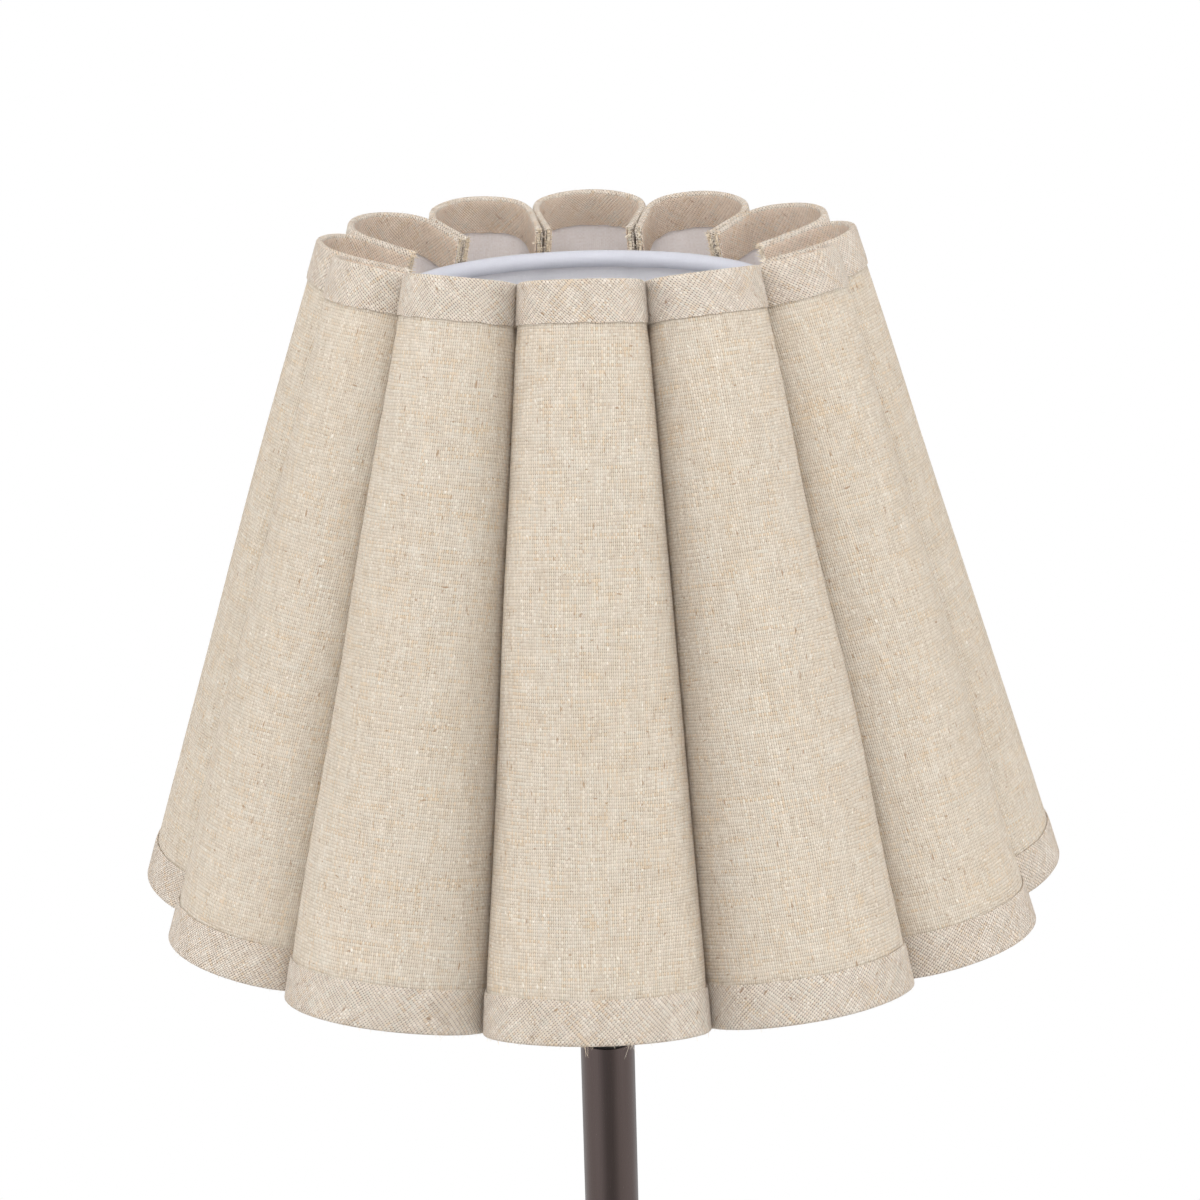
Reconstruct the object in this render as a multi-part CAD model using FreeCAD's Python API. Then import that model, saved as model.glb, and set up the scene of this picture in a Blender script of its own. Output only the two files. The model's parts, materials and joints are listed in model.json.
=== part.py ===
import FreeCAD, Part
import math
import os

# A table lamp. A slim bronze pole on a weighted foot carries a lampholder with a candle bulb, and
# a linen shade of twelve petals sits between two threaded rings on the holder. All lengths are in
# millimetres. Z is up, the table is z = 0, the pole stands on the Z axis and petal 1 faces -Y.

V = FreeCAD.Vector
ORIGIN = V(0, 0, 0)
UP = V(0, 0, 1)
FULL_TURN_DEG = 360

# Clearances, and the one overrun that every cut uses
PLUG_FIT = 0.05
THREAD_FIT = 0.08
LOOSE_FIT = 0.3
OVERRUN = 10.0

# Foot: a spun steel shell over a cast iron weight, on a felt pad
FOOT_RADIUS = 80.0
FOOT_RIM_Z = 1.0
FOOT_SIDE_HEIGHT = 15.5
FOOT_EDGE_ROUNDING = 4.0
FOOT_TOP_Z = 24.0
FOOT_TOP_RADIUS = 20.5
FOOT_TOP_ROUNDING = 12.0
FOOT_SHEET = 1.2
PAD_INSET = 3.5
PAD_THICKNESS = 2.0
WEIGHT_CLEARANCE = 2.8
WEIGHT_PLATE = 10.0
WEIGHT_HUB_WALL = 5.0
NUT_RECESS_RADIUS = 14.0
NUT_RECESS_DEPTH = 14.0
CABLE_SLOT_WIDTH = 9.0

# Cable grommet in the back of the foot
GROMMET_Z = 7.4
GROMMET_BORE_RADIUS = 3.25
GROMMET_WALL = 0.95
GROMMET_FLANGE_REACH = 1.2
GROMMET_FLANGE = 1.6
GROMMET_ROUNDING = 0.6

# Hollow threaded rod through the whole lamp, with its nuts and washer
ROD_RADIUS = 5.0
ROD_WALL = 1.5
ROD_BELOW_NUT = 0.8
ROD_ABOVE_NUT = 1.0
NUT_ACROSS_FLATS = 14.0
NUT_HEIGHT = 4.0
WASHER_CLEARANCE = 1.0
WASHER_THICKNESS = 1.2

# Pole: tube, turned collar at its foot and a bush in each end
POLE_RADIUS = 9.0
POLE_WALL = 1.2
POLE_DROP = 57.0
COLLAR_RADIUS = 17.0
COLLAR_WAIST_WALL = 3.0
COLLAR_LIP_WALL = 3.8
COLLAR_FLOOR = 4.0
COLLAR_SKIRT = 3.5
COLLAR_HEIGHT = 17.0
COLLAR_BEAD = 2.4
COLLAR_ROUNDING = 1.0
COLLAR_COVE = 4.0
BUSH_LENGTH = 9.0
BUSH_FLANGE_SETBACK = 0.7
BUSH_FLANGE = 1.2
NECK_WALL = 1.5
NECK_HEIGHT = 7.8

# Lampholder for a standard screw cap: cup, threaded body, insert and contacts
CUP_FOOT_RADIUS = 11.2
CUP_RADIUS = 19.0
CUP_SHEET = 1.4
CUP_SHOULDER_Z = 9.0
CUP_HEIGHT = 20.0
CUP_ROUNDING = 6.0
THREAD_RADIUS = 19.85
HOLDER_WALL = 2.2
HOLDER_COLLAR_REACH = 1.15
HOLDER_COLLAR = 2.5
HOLDER_THREAD_LENGTH = 41.0
HOLDER_LIP = 1.4
SPIGOT_LENGTH = 6.0
INSERT_HEIGHT = 9.0
INSERT_BOSS_RADIUS = 12.0
INSERT_BOSS = 2.0
WIRE_PORT_RADIUS = 1.6
WIRE_PORT_DEPTH = 5.0
WIRE_PORT_DISTANCE = 9.0
TERMINAL_DISTANCE = 9.0
TERMINAL_RADIUS = 1.9
TERMINAL_HEIGHT = 1.6
SCREW_SHELL_CLEARANCE = 0.35
SCREW_SHELL_SHEET = 0.4
SCREW_SHELL_LENGTH = 24.0
TONGUE_WIDTH = 5.0
TONGUE_SHEET = 0.5
TONGUE_RISE = 2.6
TONGUE_REACH = 6.5

# Candle bulb with a standard screw cap
BULB_CAP_RADIUS = 13.0
BULB_CAP_SHEET = 0.35
BULB_CAP_LENGTH = 18.0
BULB_CONTACT_RADIUS = 4.8
BULB_CONTACT_HEIGHT = 1.4
BULB_INSULATOR_HEIGHT = 4.2
BULB_INSULATOR_TOP_RADIUS = 11.0
GLASS_CEMENT = 0.65
GLASS_BELLY_RADIUS = 17.5
GLASS_TIP_RADIUS = 1.5
GLASS_TIP_RISE = 1.2
GLASS_WALL = 0.7
GLASS_IN_CAP = 5.0
GLASS_NECK_TO_BELLY = 24.0
GLASS_BELLY_TO_TIP = 48.0
STEM_FOOT_HEIGHT = 3.0
STEM_POST_RADIUS = 1.6
STEM_DISC_RADIUS = 5.6
STEM_DISC = 1.2
STEM_TO_FILAMENT = 14.0
FILAMENT_COUNT = 4
FILAMENT_LENGTH = 32.0
FILAMENT_RADIUS = 0.8
FILAMENT_CIRCLE_RADIUS = 4.0

# Shade rings that clamp the shade's fitter on the holder's thread
RING_WALL = 3.07
RING_FLANGE_REACH = 5.0
RING_FLANGE = 2.6
RING_HEIGHT = 7.5
RING_ROUNDING = 0.8
GRIP_COUNT = 12
GRIP_RADIUS = 3.0
GRIP_DEPTH = 0.9

# Wire frame of the shade
WIRE_RADIUS = 1.5
FITTER_ABOVE_SHADE = 3.5
FITTER_HOLE_CLEARANCE = 1.15
FITTER_PLATE_WIDTH = 12.0
FITTER_SHEET = 1.2
SPOKE_COUNT = 3
SPOKE_WELD = 3.5
TOP_WIRE_RADIUS = 56.5
TOP_WIRE_BELOW_NOTCH = 14.6
BOTTOM_WIRE_RADIUS = 108.3
BOTTOM_WIRE_ABOVE_NOTCH = 10.0

# Lining: a laminated cone whose margins are rolled over the two wires
ROLL_RADIUS = 2.75
LINING_SHEET = 1.0

# Shade petals, measured on the outer face of their binding tapes
PETAL_COUNT = 12
SHADE_BASE_Z = 305.0
NOTCH_LINE_HEIGHT = 210.9
BOTTOM_NOTCH_RADIUS = 127.3
TOP_NOTCH_RADIUS = 71.1
BOTTOM_PETAL_DEPTH = 24.6
TOP_PETAL_DEPTH = 14.2
BOTTOM_CORNER_RADIUS = 20.2
TOP_CORNER_RADIUS = 12.0
BOTTOM_SIDE_SETBACK = 2.0
TOP_SIDE_SETBACK = 1.0
PETAL_GAP = 0.7
EDGE_SLOPE = math.tan(math.radians(16.9))
CLOTH = 1.0
TAPE = 0.35
TOP_TAPE_WIDTH = 12.0
BOTTOM_TAPE_WIDTH = 12.5

# Radii that follow the piece they seat on or pass through
WEIGHT_RADIUS = FOOT_RADIUS - FOOT_SHEET - WEIGHT_CLEARANCE
PAD_RADIUS = FOOT_RADIUS - PAD_INSET
WEIGHT_HUB_RADIUS = NUT_RECESS_RADIUS + WEIGHT_HUB_WALL
WASHER_RADIUS = NUT_RECESS_RADIUS - WASHER_CLEARANCE
GROMMET_NECK_RADIUS = GROMMET_BORE_RADIUS + GROMMET_WALL
GROMMET_FLANGE_RADIUS = GROMMET_NECK_RADIUS + GROMMET_FLANGE_REACH
ROD_BORE_RADIUS = ROD_RADIUS - ROD_WALL
COLLAR_WAIST_RADIUS = POLE_RADIUS + COLLAR_WAIST_WALL
COLLAR_LIP_RADIUS = POLE_RADIUS + COLLAR_LIP_WALL
BUSH_FLANGE_RADIUS = POLE_RADIUS - BUSH_FLANGE_SETBACK
NECK_RADIUS = ROD_RADIUS + NECK_WALL
HOLDER_COLLAR_RADIUS = THREAD_RADIUS + HOLDER_COLLAR_REACH
SCREW_SHELL_RADIUS = BULB_CAP_RADIUS + SCREW_SHELL_CLEARANCE + SCREW_SHELL_SHEET
GLASS_NECK_RADIUS = BULB_CAP_RADIUS - BULB_CAP_SHEET - GLASS_CEMENT
RING_BORE_RADIUS = THREAD_RADIUS + THREAD_FIT
RING_HUB_RADIUS = RING_BORE_RADIUS + RING_WALL
RING_FLANGE_RADIUS = RING_HUB_RADIUS + RING_FLANGE_REACH
FITTER_HOLE_RADIUS = THREAD_RADIUS + FITTER_HOLE_CLEARANCE
FITTER_RADIUS = FITTER_HOLE_RADIUS + FITTER_PLATE_WIDTH

# Places worked out from the sizes above
POLE_FOOT_Z = FOOT_TOP_Z + COLLAR_FLOOR
POLE_TOP_Z = SHADE_BASE_Z - POLE_DROP
POLE_BORE_RADIUS = POLE_RADIUS - POLE_WALL
ROD_HOLE_RADIUS = ROD_RADIUS + PLUG_FIT
HUB_TOP_Z = FOOT_TOP_Z - FOOT_SHEET
RECESS_TOP_Z = PAD_THICKNESS + NUT_RECESS_DEPTH
BASE_NUT_Z = RECESS_TOP_Z - WASHER_THICKNESS - NUT_HEIGHT
CUP_Z = POLE_TOP_Z + BUSH_FLANGE + NECK_HEIGHT
CUP_TOP_Z = CUP_Z + CUP_HEIGHT
HOLDER_NUT_Z = CUP_Z + CUP_SHEET
ROD_BOTTOM_Z = BASE_NUT_Z - ROD_BELOW_NUT
ROD_TOP_Z = HOLDER_NUT_Z + NUT_HEIGHT + ROD_ABOVE_NUT
THREAD_Z = CUP_TOP_Z + HOLDER_COLLAR
HOLDER_TOP_Z = THREAD_Z + HOLDER_THREAD_LENGTH
SPIGOT_RADIUS = CUP_RADIUS - CUP_SHEET - PLUG_FIT
SPIGOT_Z = CUP_TOP_Z - SPIGOT_LENGTH
HOLDER_BORE_RADIUS = THREAD_RADIUS - HOLDER_WALL
INSERT_Z = CUP_TOP_Z - INSERT_HEIGHT
INSERT_TOP_Z = CUP_TOP_Z
INSERT_RADIUS = SPIGOT_RADIUS - HOLDER_LIP - PLUG_FIT
BULB_Z = INSERT_TOP_Z + INSERT_BOSS + TONGUE_RISE
CAP_Z = BULB_Z + BULB_CONTACT_HEIGHT + BULB_INSULATOR_HEIGHT
CAP_TOP_Z = CAP_Z + BULB_CAP_LENGTH
GLASS_Z = CAP_TOP_Z - GLASS_IN_CAP
BELLY_Z = CAP_TOP_Z + GLASS_NECK_TO_BELLY
TIP_Z = BELLY_Z + GLASS_BELLY_TO_TIP
FITTER_Z = SHADE_BASE_Z + FITTER_ABOVE_SHADE
FITTER_TOP_Z = FITTER_Z + FITTER_SHEET
TOP_WIRE_Z = SHADE_BASE_Z + NOTCH_LINE_HEIGHT - TOP_WIRE_BELOW_NOTCH
BOTTOM_WIRE_Z = SHADE_BASE_Z + BOTTOM_WIRE_ABOVE_NOTCH
LINING_SLANT = math.atan2(BOTTOM_WIRE_RADIUS - TOP_WIRE_RADIUS, TOP_WIRE_Z - BOTTOM_WIRE_Z)
SHADE_REACH = BOTTOM_NOTCH_RADIUS + BOTTOM_PETAL_DEPTH + OVERRUN
HALF_WEDGE = math.pi / PETAL_COUNT
ALONG_SIDE = V(math.sin(HALF_WEDGE), math.cos(HALF_WEDGE), 0)
TO_PETAL_MIDDLE = V(-math.cos(HALF_WEDGE), math.sin(HALF_WEDGE), 0)


# Drawing helpers

def line(start, end):
    """A straight edge between two points."""
    return Part.LineSegment(start, end).toShape()


def arc(start, through, end):
    """An edge on the circle through three points."""
    return Part.Arc(start, through, end).toShape()


def corner_arc(before, corner, after, rounding):
    """Start, middle and end of the arc that rounds one corner of an outline."""
    to_before = (before - corner).normalize()
    to_after = (after - corner).normalize()
    half_angle = to_before.getAngle(to_after) / 2
    reach = rounding / math.tan(half_angle)
    middle = (to_before + to_after).normalize()
    through = corner + middle * (rounding / math.sin(half_angle) - rounding)
    return corner + to_before * reach, through, corner + to_after * reach


def outline(corners, closed):
    """A wire in the XZ plane through corners of (radius, height) or (radius, height, rounding)."""
    points = [V(corner[0], 0, corner[1]) for corner in corners]
    edges = []
    first = None
    here = None
    for index, corner in enumerate(corners):
        start = end = points[index]
        rounding = corner[2] if len(corner) > 2 else 0
        if rounding:
            after = points[(index + 1) % len(points)]
            start, through, end = corner_arc(points[index - 1], points[index], after, rounding)
        if here is None:
            first = start
        else:
            edges.append(line(here, start))
        if rounding:
            edges.append(arc(start, through, end))
        here = end
    if closed:
        edges.append(line(here, first))
    return Part.Wire(edges)


def turned(corners):
    """A solid of revolution about the Z axis."""
    return Part.Face(outline(corners, True)).revolve(ORIGIN, UP, FULL_TURN_DEG)


def turned_sheet(corners, sheet):
    """A spun sheet: an open outline given a thickness inwards and turned about the Z axis."""
    wire = outline(corners, False)
    section = wire.makeOffset2D(sheet, fill=True, openResult=True)
    return section.revolve(ORIGIN, UP, FULL_TURN_DEG)


def ring(inner_radius, outer_radius, low_z, high_z):
    """A plain ring or washer about the Z axis."""
    return turned([(inner_radius, low_z), (outer_radius, low_z), (outer_radius, high_z),
                   (inner_radius, high_z)])


def hexagon_nut(low_z):
    """A hexagon nut on the threaded rod, standing on low_z."""
    corner_radius = NUT_ACROSS_FLATS / math.sqrt(3)
    angles = [math.pi / 3 * index for index in range(7)]
    points = [V(corner_radius * math.cos(a), corner_radius * math.sin(a), low_z) for a in angles]
    blank = Part.Face(Part.makePolygon(points)).extrude(UP * NUT_HEIGHT)
    return blank.cut(Part.makeCylinder(ROD_HOLE_RADIUS, NUT_HEIGHT, V(0, 0, low_z)))


def turned_copies(shape, count, start_deg):
    """Copies of a shape spaced evenly about the Z axis."""
    copies = []
    for index in range(count):
        copy = shape.copy()
        copy.rotate(ORIGIN, UP, start_deg + FULL_TURN_DEG / count * index)
        copies.append(copy)
    return copies


def share_between(low, high, share):
    """The value a share of the way from low to high."""
    return low + (high - low) * share


# Foot

def base_shell():
    """Spun dish with a rolled side, a rod hole in its top and a grommet hole at the back."""
    side_top_z = FOOT_RIM_Z + FOOT_SIDE_HEIGHT
    shell = turned_sheet([(FOOT_RADIUS, FOOT_RIM_Z),
                          (FOOT_RADIUS, side_top_z, FOOT_EDGE_ROUNDING),
                          (FOOT_TOP_RADIUS, FOOT_TOP_Z, FOOT_TOP_ROUNDING),
                          (ROD_HOLE_RADIUS, FOOT_TOP_Z)], FOOT_SHEET)
    hole = Part.makeCylinder(GROMMET_NECK_RADIUS + PLUG_FIT, FOOT_RADIUS + OVERRUN,
                             V(0, 0, GROMMET_Z), V(0, 1, 0))
    return shell.cut(hole)


def base_weight():
    """Cast disc with a hub up to the shell, a nut recess and a slot for the cable."""
    plate_top_z = PAD_THICKNESS + WEIGHT_PLATE
    weight = turned([(ROD_HOLE_RADIUS, RECESS_TOP_Z), (NUT_RECESS_RADIUS, RECESS_TOP_Z),
                     (NUT_RECESS_RADIUS, PAD_THICKNESS), (WEIGHT_RADIUS, PAD_THICKNESS),
                     (WEIGHT_RADIUS, plate_top_z), (WEIGHT_HUB_RADIUS, plate_top_z),
                     (WEIGHT_HUB_RADIUS, HUB_TOP_Z), (ROD_HOLE_RADIUS, HUB_TOP_Z)])
    slot = Part.makeBox(CABLE_SLOT_WIDTH, WEIGHT_RADIUS + OVERRUN, WEIGHT_PLATE + OVERRUN,
                        V(-CABLE_SLOT_WIDTH / 2, 0, PAD_THICKNESS - OVERRUN))
    return weight.cut(slot)


def base_pad():
    """Felt disc that the lamp stands on."""
    return Part.makeCylinder(PAD_RADIUS, PAD_THICKNESS)


def base_washer():
    """Plain washer between the weight and its nut."""
    return ring(ROD_HOLE_RADIUS, WASHER_RADIUS, RECESS_TOP_Z - WASHER_THICKNESS, RECESS_TOP_Z)


def cable_grommet():
    """Rubber grommet that lines the hole for the cable, with a groove for the shell's wall."""
    wall_bulge = FOOT_RADIUS - math.sqrt(FOOT_RADIUS ** 2 - GROMMET_FLANGE_RADIUS ** 2)
    groove_outer_y = FOOT_RADIUS + PLUG_FIT
    groove_inner_y = FOOT_RADIUS - FOOT_SHEET - wall_bulge - PLUG_FIT
    outer_face_y = groove_outer_y + GROMMET_FLANGE
    inner_face_y = groove_inner_y - GROMMET_FLANGE
    grommet = turned([(GROMMET_BORE_RADIUS, inner_face_y),
                      (GROMMET_FLANGE_RADIUS, inner_face_y, GROMMET_ROUNDING),
                      (GROMMET_FLANGE_RADIUS, groove_inner_y),
                      (GROMMET_NECK_RADIUS, groove_inner_y), (GROMMET_NECK_RADIUS, groove_outer_y),
                      (GROMMET_FLANGE_RADIUS, groove_outer_y),
                      (GROMMET_FLANGE_RADIUS, outer_face_y, GROMMET_ROUNDING),
                      (GROMMET_BORE_RADIUS, outer_face_y)])
    grommet.rotate(ORIGIN, V(1, 0, 0), -90)
    grommet.translate(V(0, 0, GROMMET_Z))
    return grommet


# Pole

def threaded_rod():
    """Hollow rod that clamps the lamp together and carries the cable."""
    return ring(ROD_BORE_RADIUS, ROD_RADIUS, ROD_BOTTOM_Z, ROD_TOP_Z)


def pole_foot_collar():
    """Turned collar with a skirt, a cove and a bead, bored for the pole."""
    skirt_top_z = FOOT_TOP_Z + COLLAR_SKIRT
    top_z = FOOT_TOP_Z + COLLAR_HEIGHT
    seat_radius = POLE_RADIUS + PLUG_FIT
    bead_z = top_z - COLLAR_BEAD
    return turned([(ROD_HOLE_RADIUS, FOOT_TOP_Z), (COLLAR_RADIUS, FOOT_TOP_Z),
                   (COLLAR_RADIUS, skirt_top_z, COLLAR_ROUNDING),
                   (COLLAR_WAIST_RADIUS, skirt_top_z, COLLAR_COVE),
                   (COLLAR_WAIST_RADIUS - COLLAR_ROUNDING, bead_z),
                   (COLLAR_LIP_RADIUS, bead_z, COLLAR_ROUNDING),
                   (COLLAR_LIP_RADIUS, top_z, COLLAR_ROUNDING),
                   (seat_radius, top_z), (seat_radius, POLE_FOOT_Z),
                   (ROD_HOLE_RADIUS, POLE_FOOT_Z)])


def pole_tube():
    """The drawn tube of the pole."""
    return ring(POLE_BORE_RADIUS, POLE_RADIUS, POLE_FOOT_Z, POLE_TOP_Z)


def pole_bottom_bush():
    """Ring that centres the rod in the pole's foot."""
    return ring(ROD_HOLE_RADIUS, POLE_BORE_RADIUS - PLUG_FIT, POLE_FOOT_Z,
                POLE_FOOT_Z + BUSH_LENGTH)


def pole_top_bush():
    """Plug in the pole's top, with a flange on the rim and a neck up to the holder."""
    plug_radius = POLE_BORE_RADIUS - PLUG_FIT
    flange_top_z = POLE_TOP_Z + BUSH_FLANGE
    return turned([(ROD_HOLE_RADIUS, POLE_TOP_Z - BUSH_LENGTH),
                   (plug_radius, POLE_TOP_Z - BUSH_LENGTH), (plug_radius, POLE_TOP_Z),
                   (BUSH_FLANGE_RADIUS, POLE_TOP_Z),
                   (BUSH_FLANGE_RADIUS, flange_top_z, BUSH_FLANGE / 2),
                   (NECK_RADIUS, flange_top_z), (NECK_RADIUS, CUP_Z), (ROD_HOLE_RADIUS, CUP_Z)])


# Lampholder

def holder_cap():
    """Spun cup under the holder, with a stepped shoulder."""
    return turned_sheet([(ROD_HOLE_RADIUS, CUP_Z), (CUP_FOOT_RADIUS, CUP_Z, CUP_SHEET * 2),
                         (CUP_FOOT_RADIUS + CUP_SHEET, CUP_Z + CUP_ROUNDING),
                         (CUP_RADIUS, CUP_Z + CUP_SHOULDER_Z, CUP_ROUNDING),
                         (CUP_RADIUS, CUP_TOP_Z)], CUP_SHEET)


def holder_body():
    """Threaded barrel with a collar on the cup, a spigot in it and an open top."""
    bore = SPIGOT_RADIUS - HOLDER_LIP
    return turned([(bore, SPIGOT_Z), (SPIGOT_RADIUS, SPIGOT_Z), (SPIGOT_RADIUS, CUP_TOP_Z),
                   (HOLDER_COLLAR_RADIUS, CUP_TOP_Z, HOLDER_COLLAR / 4),
                   (HOLDER_COLLAR_RADIUS, THREAD_Z, HOLDER_COLLAR / 4),
                   (THREAD_RADIUS, THREAD_Z), (THREAD_RADIUS, HOLDER_TOP_Z, HOLDER_LIP / 2),
                   (HOLDER_BORE_RADIUS, HOLDER_TOP_Z, HOLDER_LIP / 2),
                   (HOLDER_BORE_RADIUS, THREAD_Z), (bore, CUP_TOP_Z)])


def holder_insert():
    """Ceramic disc with a raised boss for the tongue and two blind wire ports underneath."""
    boss_top_z = INSERT_TOP_Z + INSERT_BOSS
    insert = turned([(0, INSERT_Z), (INSERT_RADIUS, INSERT_Z), (INSERT_RADIUS, INSERT_TOP_Z),
                     (INSERT_BOSS_RADIUS, INSERT_TOP_Z), (INSERT_BOSS_RADIUS, boss_top_z),
                     (0, boss_top_z)])
    port = Part.makeCylinder(WIRE_PORT_RADIUS, WIRE_PORT_DEPTH + OVERRUN,
                             V(WIRE_PORT_DISTANCE, 0, INSERT_Z - OVERRUN))
    return insert.cut(Part.makeCompound(turned_copies(port, 2, 0)))


def terminal_screws():
    """The two screws that hold the wires, in the insert's underside."""
    screw = Part.makeCylinder(TERMINAL_RADIUS, TERMINAL_HEIGHT,
                              V(0, TERMINAL_DISTANCE, INSERT_Z - TERMINAL_HEIGHT))
    return Part.makeCompound(turned_copies(screw, 2, 0))


def screw_shell():
    """Thin brass shell that takes the bulb's cap, with a foot flange round the boss."""
    return turned_sheet([(INSERT_BOSS_RADIUS + PLUG_FIT, INSERT_TOP_Z),
                         (SCREW_SHELL_RADIUS, INSERT_TOP_Z, SCREW_SHELL_SHEET * 2),
                         (SCREW_SHELL_RADIUS, INSERT_TOP_Z + SCREW_SHELL_LENGTH)],
                        SCREW_SHELL_SHEET)


def centre_contact():
    """Sprung tongue, bent up from the boss to the bulb's contact."""
    low_z = INSERT_TOP_Z + INSERT_BOSS
    high_z = BULB_Z
    half_reach = TONGUE_REACH / 2
    points = [(-TONGUE_REACH, low_z), (0, low_z), (half_reach, high_z - TONGUE_SHEET),
              (TONGUE_REACH, high_z - TONGUE_SHEET), (TONGUE_REACH, high_z),
              (half_reach - TONGUE_SHEET, high_z), (-TONGUE_SHEET, low_z + TONGUE_SHEET),
              (-TONGUE_REACH, low_z + TONGUE_SHEET)]
    shift = (TONGUE_REACH + half_reach) / 2
    corners = [V(x - shift + TONGUE_SHEET, -TONGUE_WIDTH / 2, z) for x, z in points]
    return Part.Face(Part.makePolygon(corners + corners[:1])).extrude(V(0, TONGUE_WIDTH, 0))


# Bulb

def bulb_contact():
    """Tinned button under the bulb's cap."""
    top_z = BULB_Z + BULB_CONTACT_HEIGHT
    return turned([(0, BULB_Z), (BULB_CONTACT_RADIUS, BULB_Z, BULB_CONTACT_HEIGHT / 2),
                   (BULB_CONTACT_RADIUS, top_z), (0, top_z)])


def bulb_insulator():
    """Black glass cone between the button and the cap."""
    low_z = BULB_Z + BULB_CONTACT_HEIGHT
    return turned([(0, low_z), (BULB_CONTACT_RADIUS, low_z), (BULB_INSULATOR_TOP_RADIUS, CAP_Z),
                   (0, CAP_Z)])


def bulb_cap():
    """Brass screw cap with a closed foot."""
    return turned_sheet([(BULB_CONTACT_RADIUS, CAP_Z), (BULB_CAP_RADIUS, CAP_Z, BULB_CAP_SHEET * 4),
                         (BULB_CAP_RADIUS, CAP_TOP_Z)], BULB_CAP_SHEET)


def glass_outline(inset):
    """Radii and arcs of the candle glass, moved in by inset: neck, belly and tip points."""
    neck_fall = GLASS_BELLY_RADIUS - GLASS_NECK_RADIUS
    neck_arc = (GLASS_NECK_TO_BELLY ** 2 + neck_fall ** 2) / (2 * neck_fall)
    tip_fall = GLASS_BELLY_RADIUS - GLASS_TIP_RADIUS
    tip_arc = (GLASS_BELLY_TO_TIP ** 2 + tip_fall ** 2) / (2 * tip_fall)

    def on_arc(radius, height):
        return V(GLASS_BELLY_RADIUS - radius + math.sqrt((radius - inset) ** 2 - height ** 2), 0,
                 BELLY_Z + height)

    belly = V(GLASS_BELLY_RADIUS - inset, 0, BELLY_Z)
    neck = on_arc(neck_arc, -GLASS_NECK_TO_BELLY)
    neck_middle = on_arc(neck_arc, -GLASS_NECK_TO_BELLY / 2)
    tip_height = GLASS_BELLY_TO_TIP - inset
    tip = on_arc(tip_arc, tip_height)
    tip_middle = on_arc(tip_arc, tip_height / 2)
    return neck, neck_middle, belly, tip_middle, tip


def bulb_glass():
    """Thin candle-shaped glass, open at its neck and closed by a small round tip."""
    neck, neck_middle, belly, tip_middle, tip = glass_outline(0)
    inner = glass_outline(GLASS_WALL)
    tip_sphere = (tip.x ** 2 + GLASS_TIP_RISE ** 2) / (2 * GLASS_TIP_RISE)
    half_angle = math.asin(tip.x / tip_sphere) / 2
    top = V(0, 0, TIP_Z + GLASS_TIP_RISE)
    shoulder = V(tip_sphere * math.sin(half_angle), 0,
                 top.z - tip_sphere * (1 - math.cos(half_angle)))
    inner_top = V(0, 0, inner[4].z)
    foot = V(neck.x, 0, GLASS_Z)
    inner_foot = V(inner[0].x, 0, GLASS_Z)
    edges = [line(foot, neck), arc(neck, neck_middle, belly), arc(belly, tip_middle, tip),
             arc(tip, shoulder, top), line(top, inner_top), line(inner_top, inner[4]),
             arc(inner[4], inner[3], inner[2]), arc(inner[2], inner[1], inner[0]),
             line(inner[0], inner_foot), line(inner_foot, foot)]
    return Part.Face(Part.Wire(edges)).revolve(ORIGIN, UP, FULL_TURN_DEG)


def bulb_stem():
    """Flared foot and post inside the glass, with the two discs that hold the filaments."""
    foot_radius = glass_outline(GLASS_WALL)[0].x - PLUG_FIT
    foot_top_z = GLASS_Z + STEM_FOOT_HEIGHT
    low_disc_z = GLASS_Z + STEM_TO_FILAMENT
    low_disc_top_z = low_disc_z + STEM_DISC
    high_disc_z = low_disc_top_z + FILAMENT_LENGTH
    return turned([(0, GLASS_Z), (foot_radius, GLASS_Z), (foot_radius, foot_top_z),
                   (STEM_POST_RADIUS, foot_top_z, STEM_FOOT_HEIGHT),
                   (STEM_POST_RADIUS, low_disc_z), (STEM_DISC_RADIUS, low_disc_z),
                   (STEM_DISC_RADIUS, low_disc_top_z), (STEM_POST_RADIUS, low_disc_top_z),
                   (STEM_POST_RADIUS, high_disc_z), (STEM_DISC_RADIUS, high_disc_z),
                   (STEM_DISC_RADIUS, high_disc_z + STEM_DISC), (0, high_disc_z + STEM_DISC)])


def bulb_filaments():
    """Upright filament sticks between the two discs."""
    low_z = GLASS_Z + STEM_TO_FILAMENT + STEM_DISC
    stick = Part.makeCylinder(FILAMENT_RADIUS, FILAMENT_LENGTH,
                              V(FILAMENT_CIRCLE_RADIUS, 0, low_z))
    return Part.makeCompound(turned_copies(stick, FILAMENT_COUNT, 0))


# Shade rings

def shade_ring(flange_z, away):
    """Ring on the holder's thread: a flange that starts at flange_z and a hub beyond it.

    away is 1 for the ring above the fitter and -1 for the one below it.
    """
    blank = turned([(RING_BORE_RADIUS, 0), (RING_FLANGE_RADIUS, 0),
                    (RING_FLANGE_RADIUS, RING_FLANGE, RING_ROUNDING),
                    (RING_HUB_RADIUS, RING_FLANGE, RING_ROUNDING),
                    (RING_HUB_RADIUS, RING_HEIGHT, RING_ROUNDING),
                    (RING_BORE_RADIUS, RING_HEIGHT)])
    grip = Part.makeCylinder(GRIP_RADIUS, RING_FLANGE + OVERRUN,
                             V(RING_FLANGE_RADIUS + GRIP_RADIUS - GRIP_DEPTH, 0, -OVERRUN / 2))
    finished = blank.cut(Part.makeCompound(turned_copies(grip, GRIP_COUNT, 0)))
    if away < 0:
        finished.rotate(ORIGIN, V(1, 0, 0), 180)
    finished.translate(V(0, 0, flange_z))
    return finished


# Shade frame and lining

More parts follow.
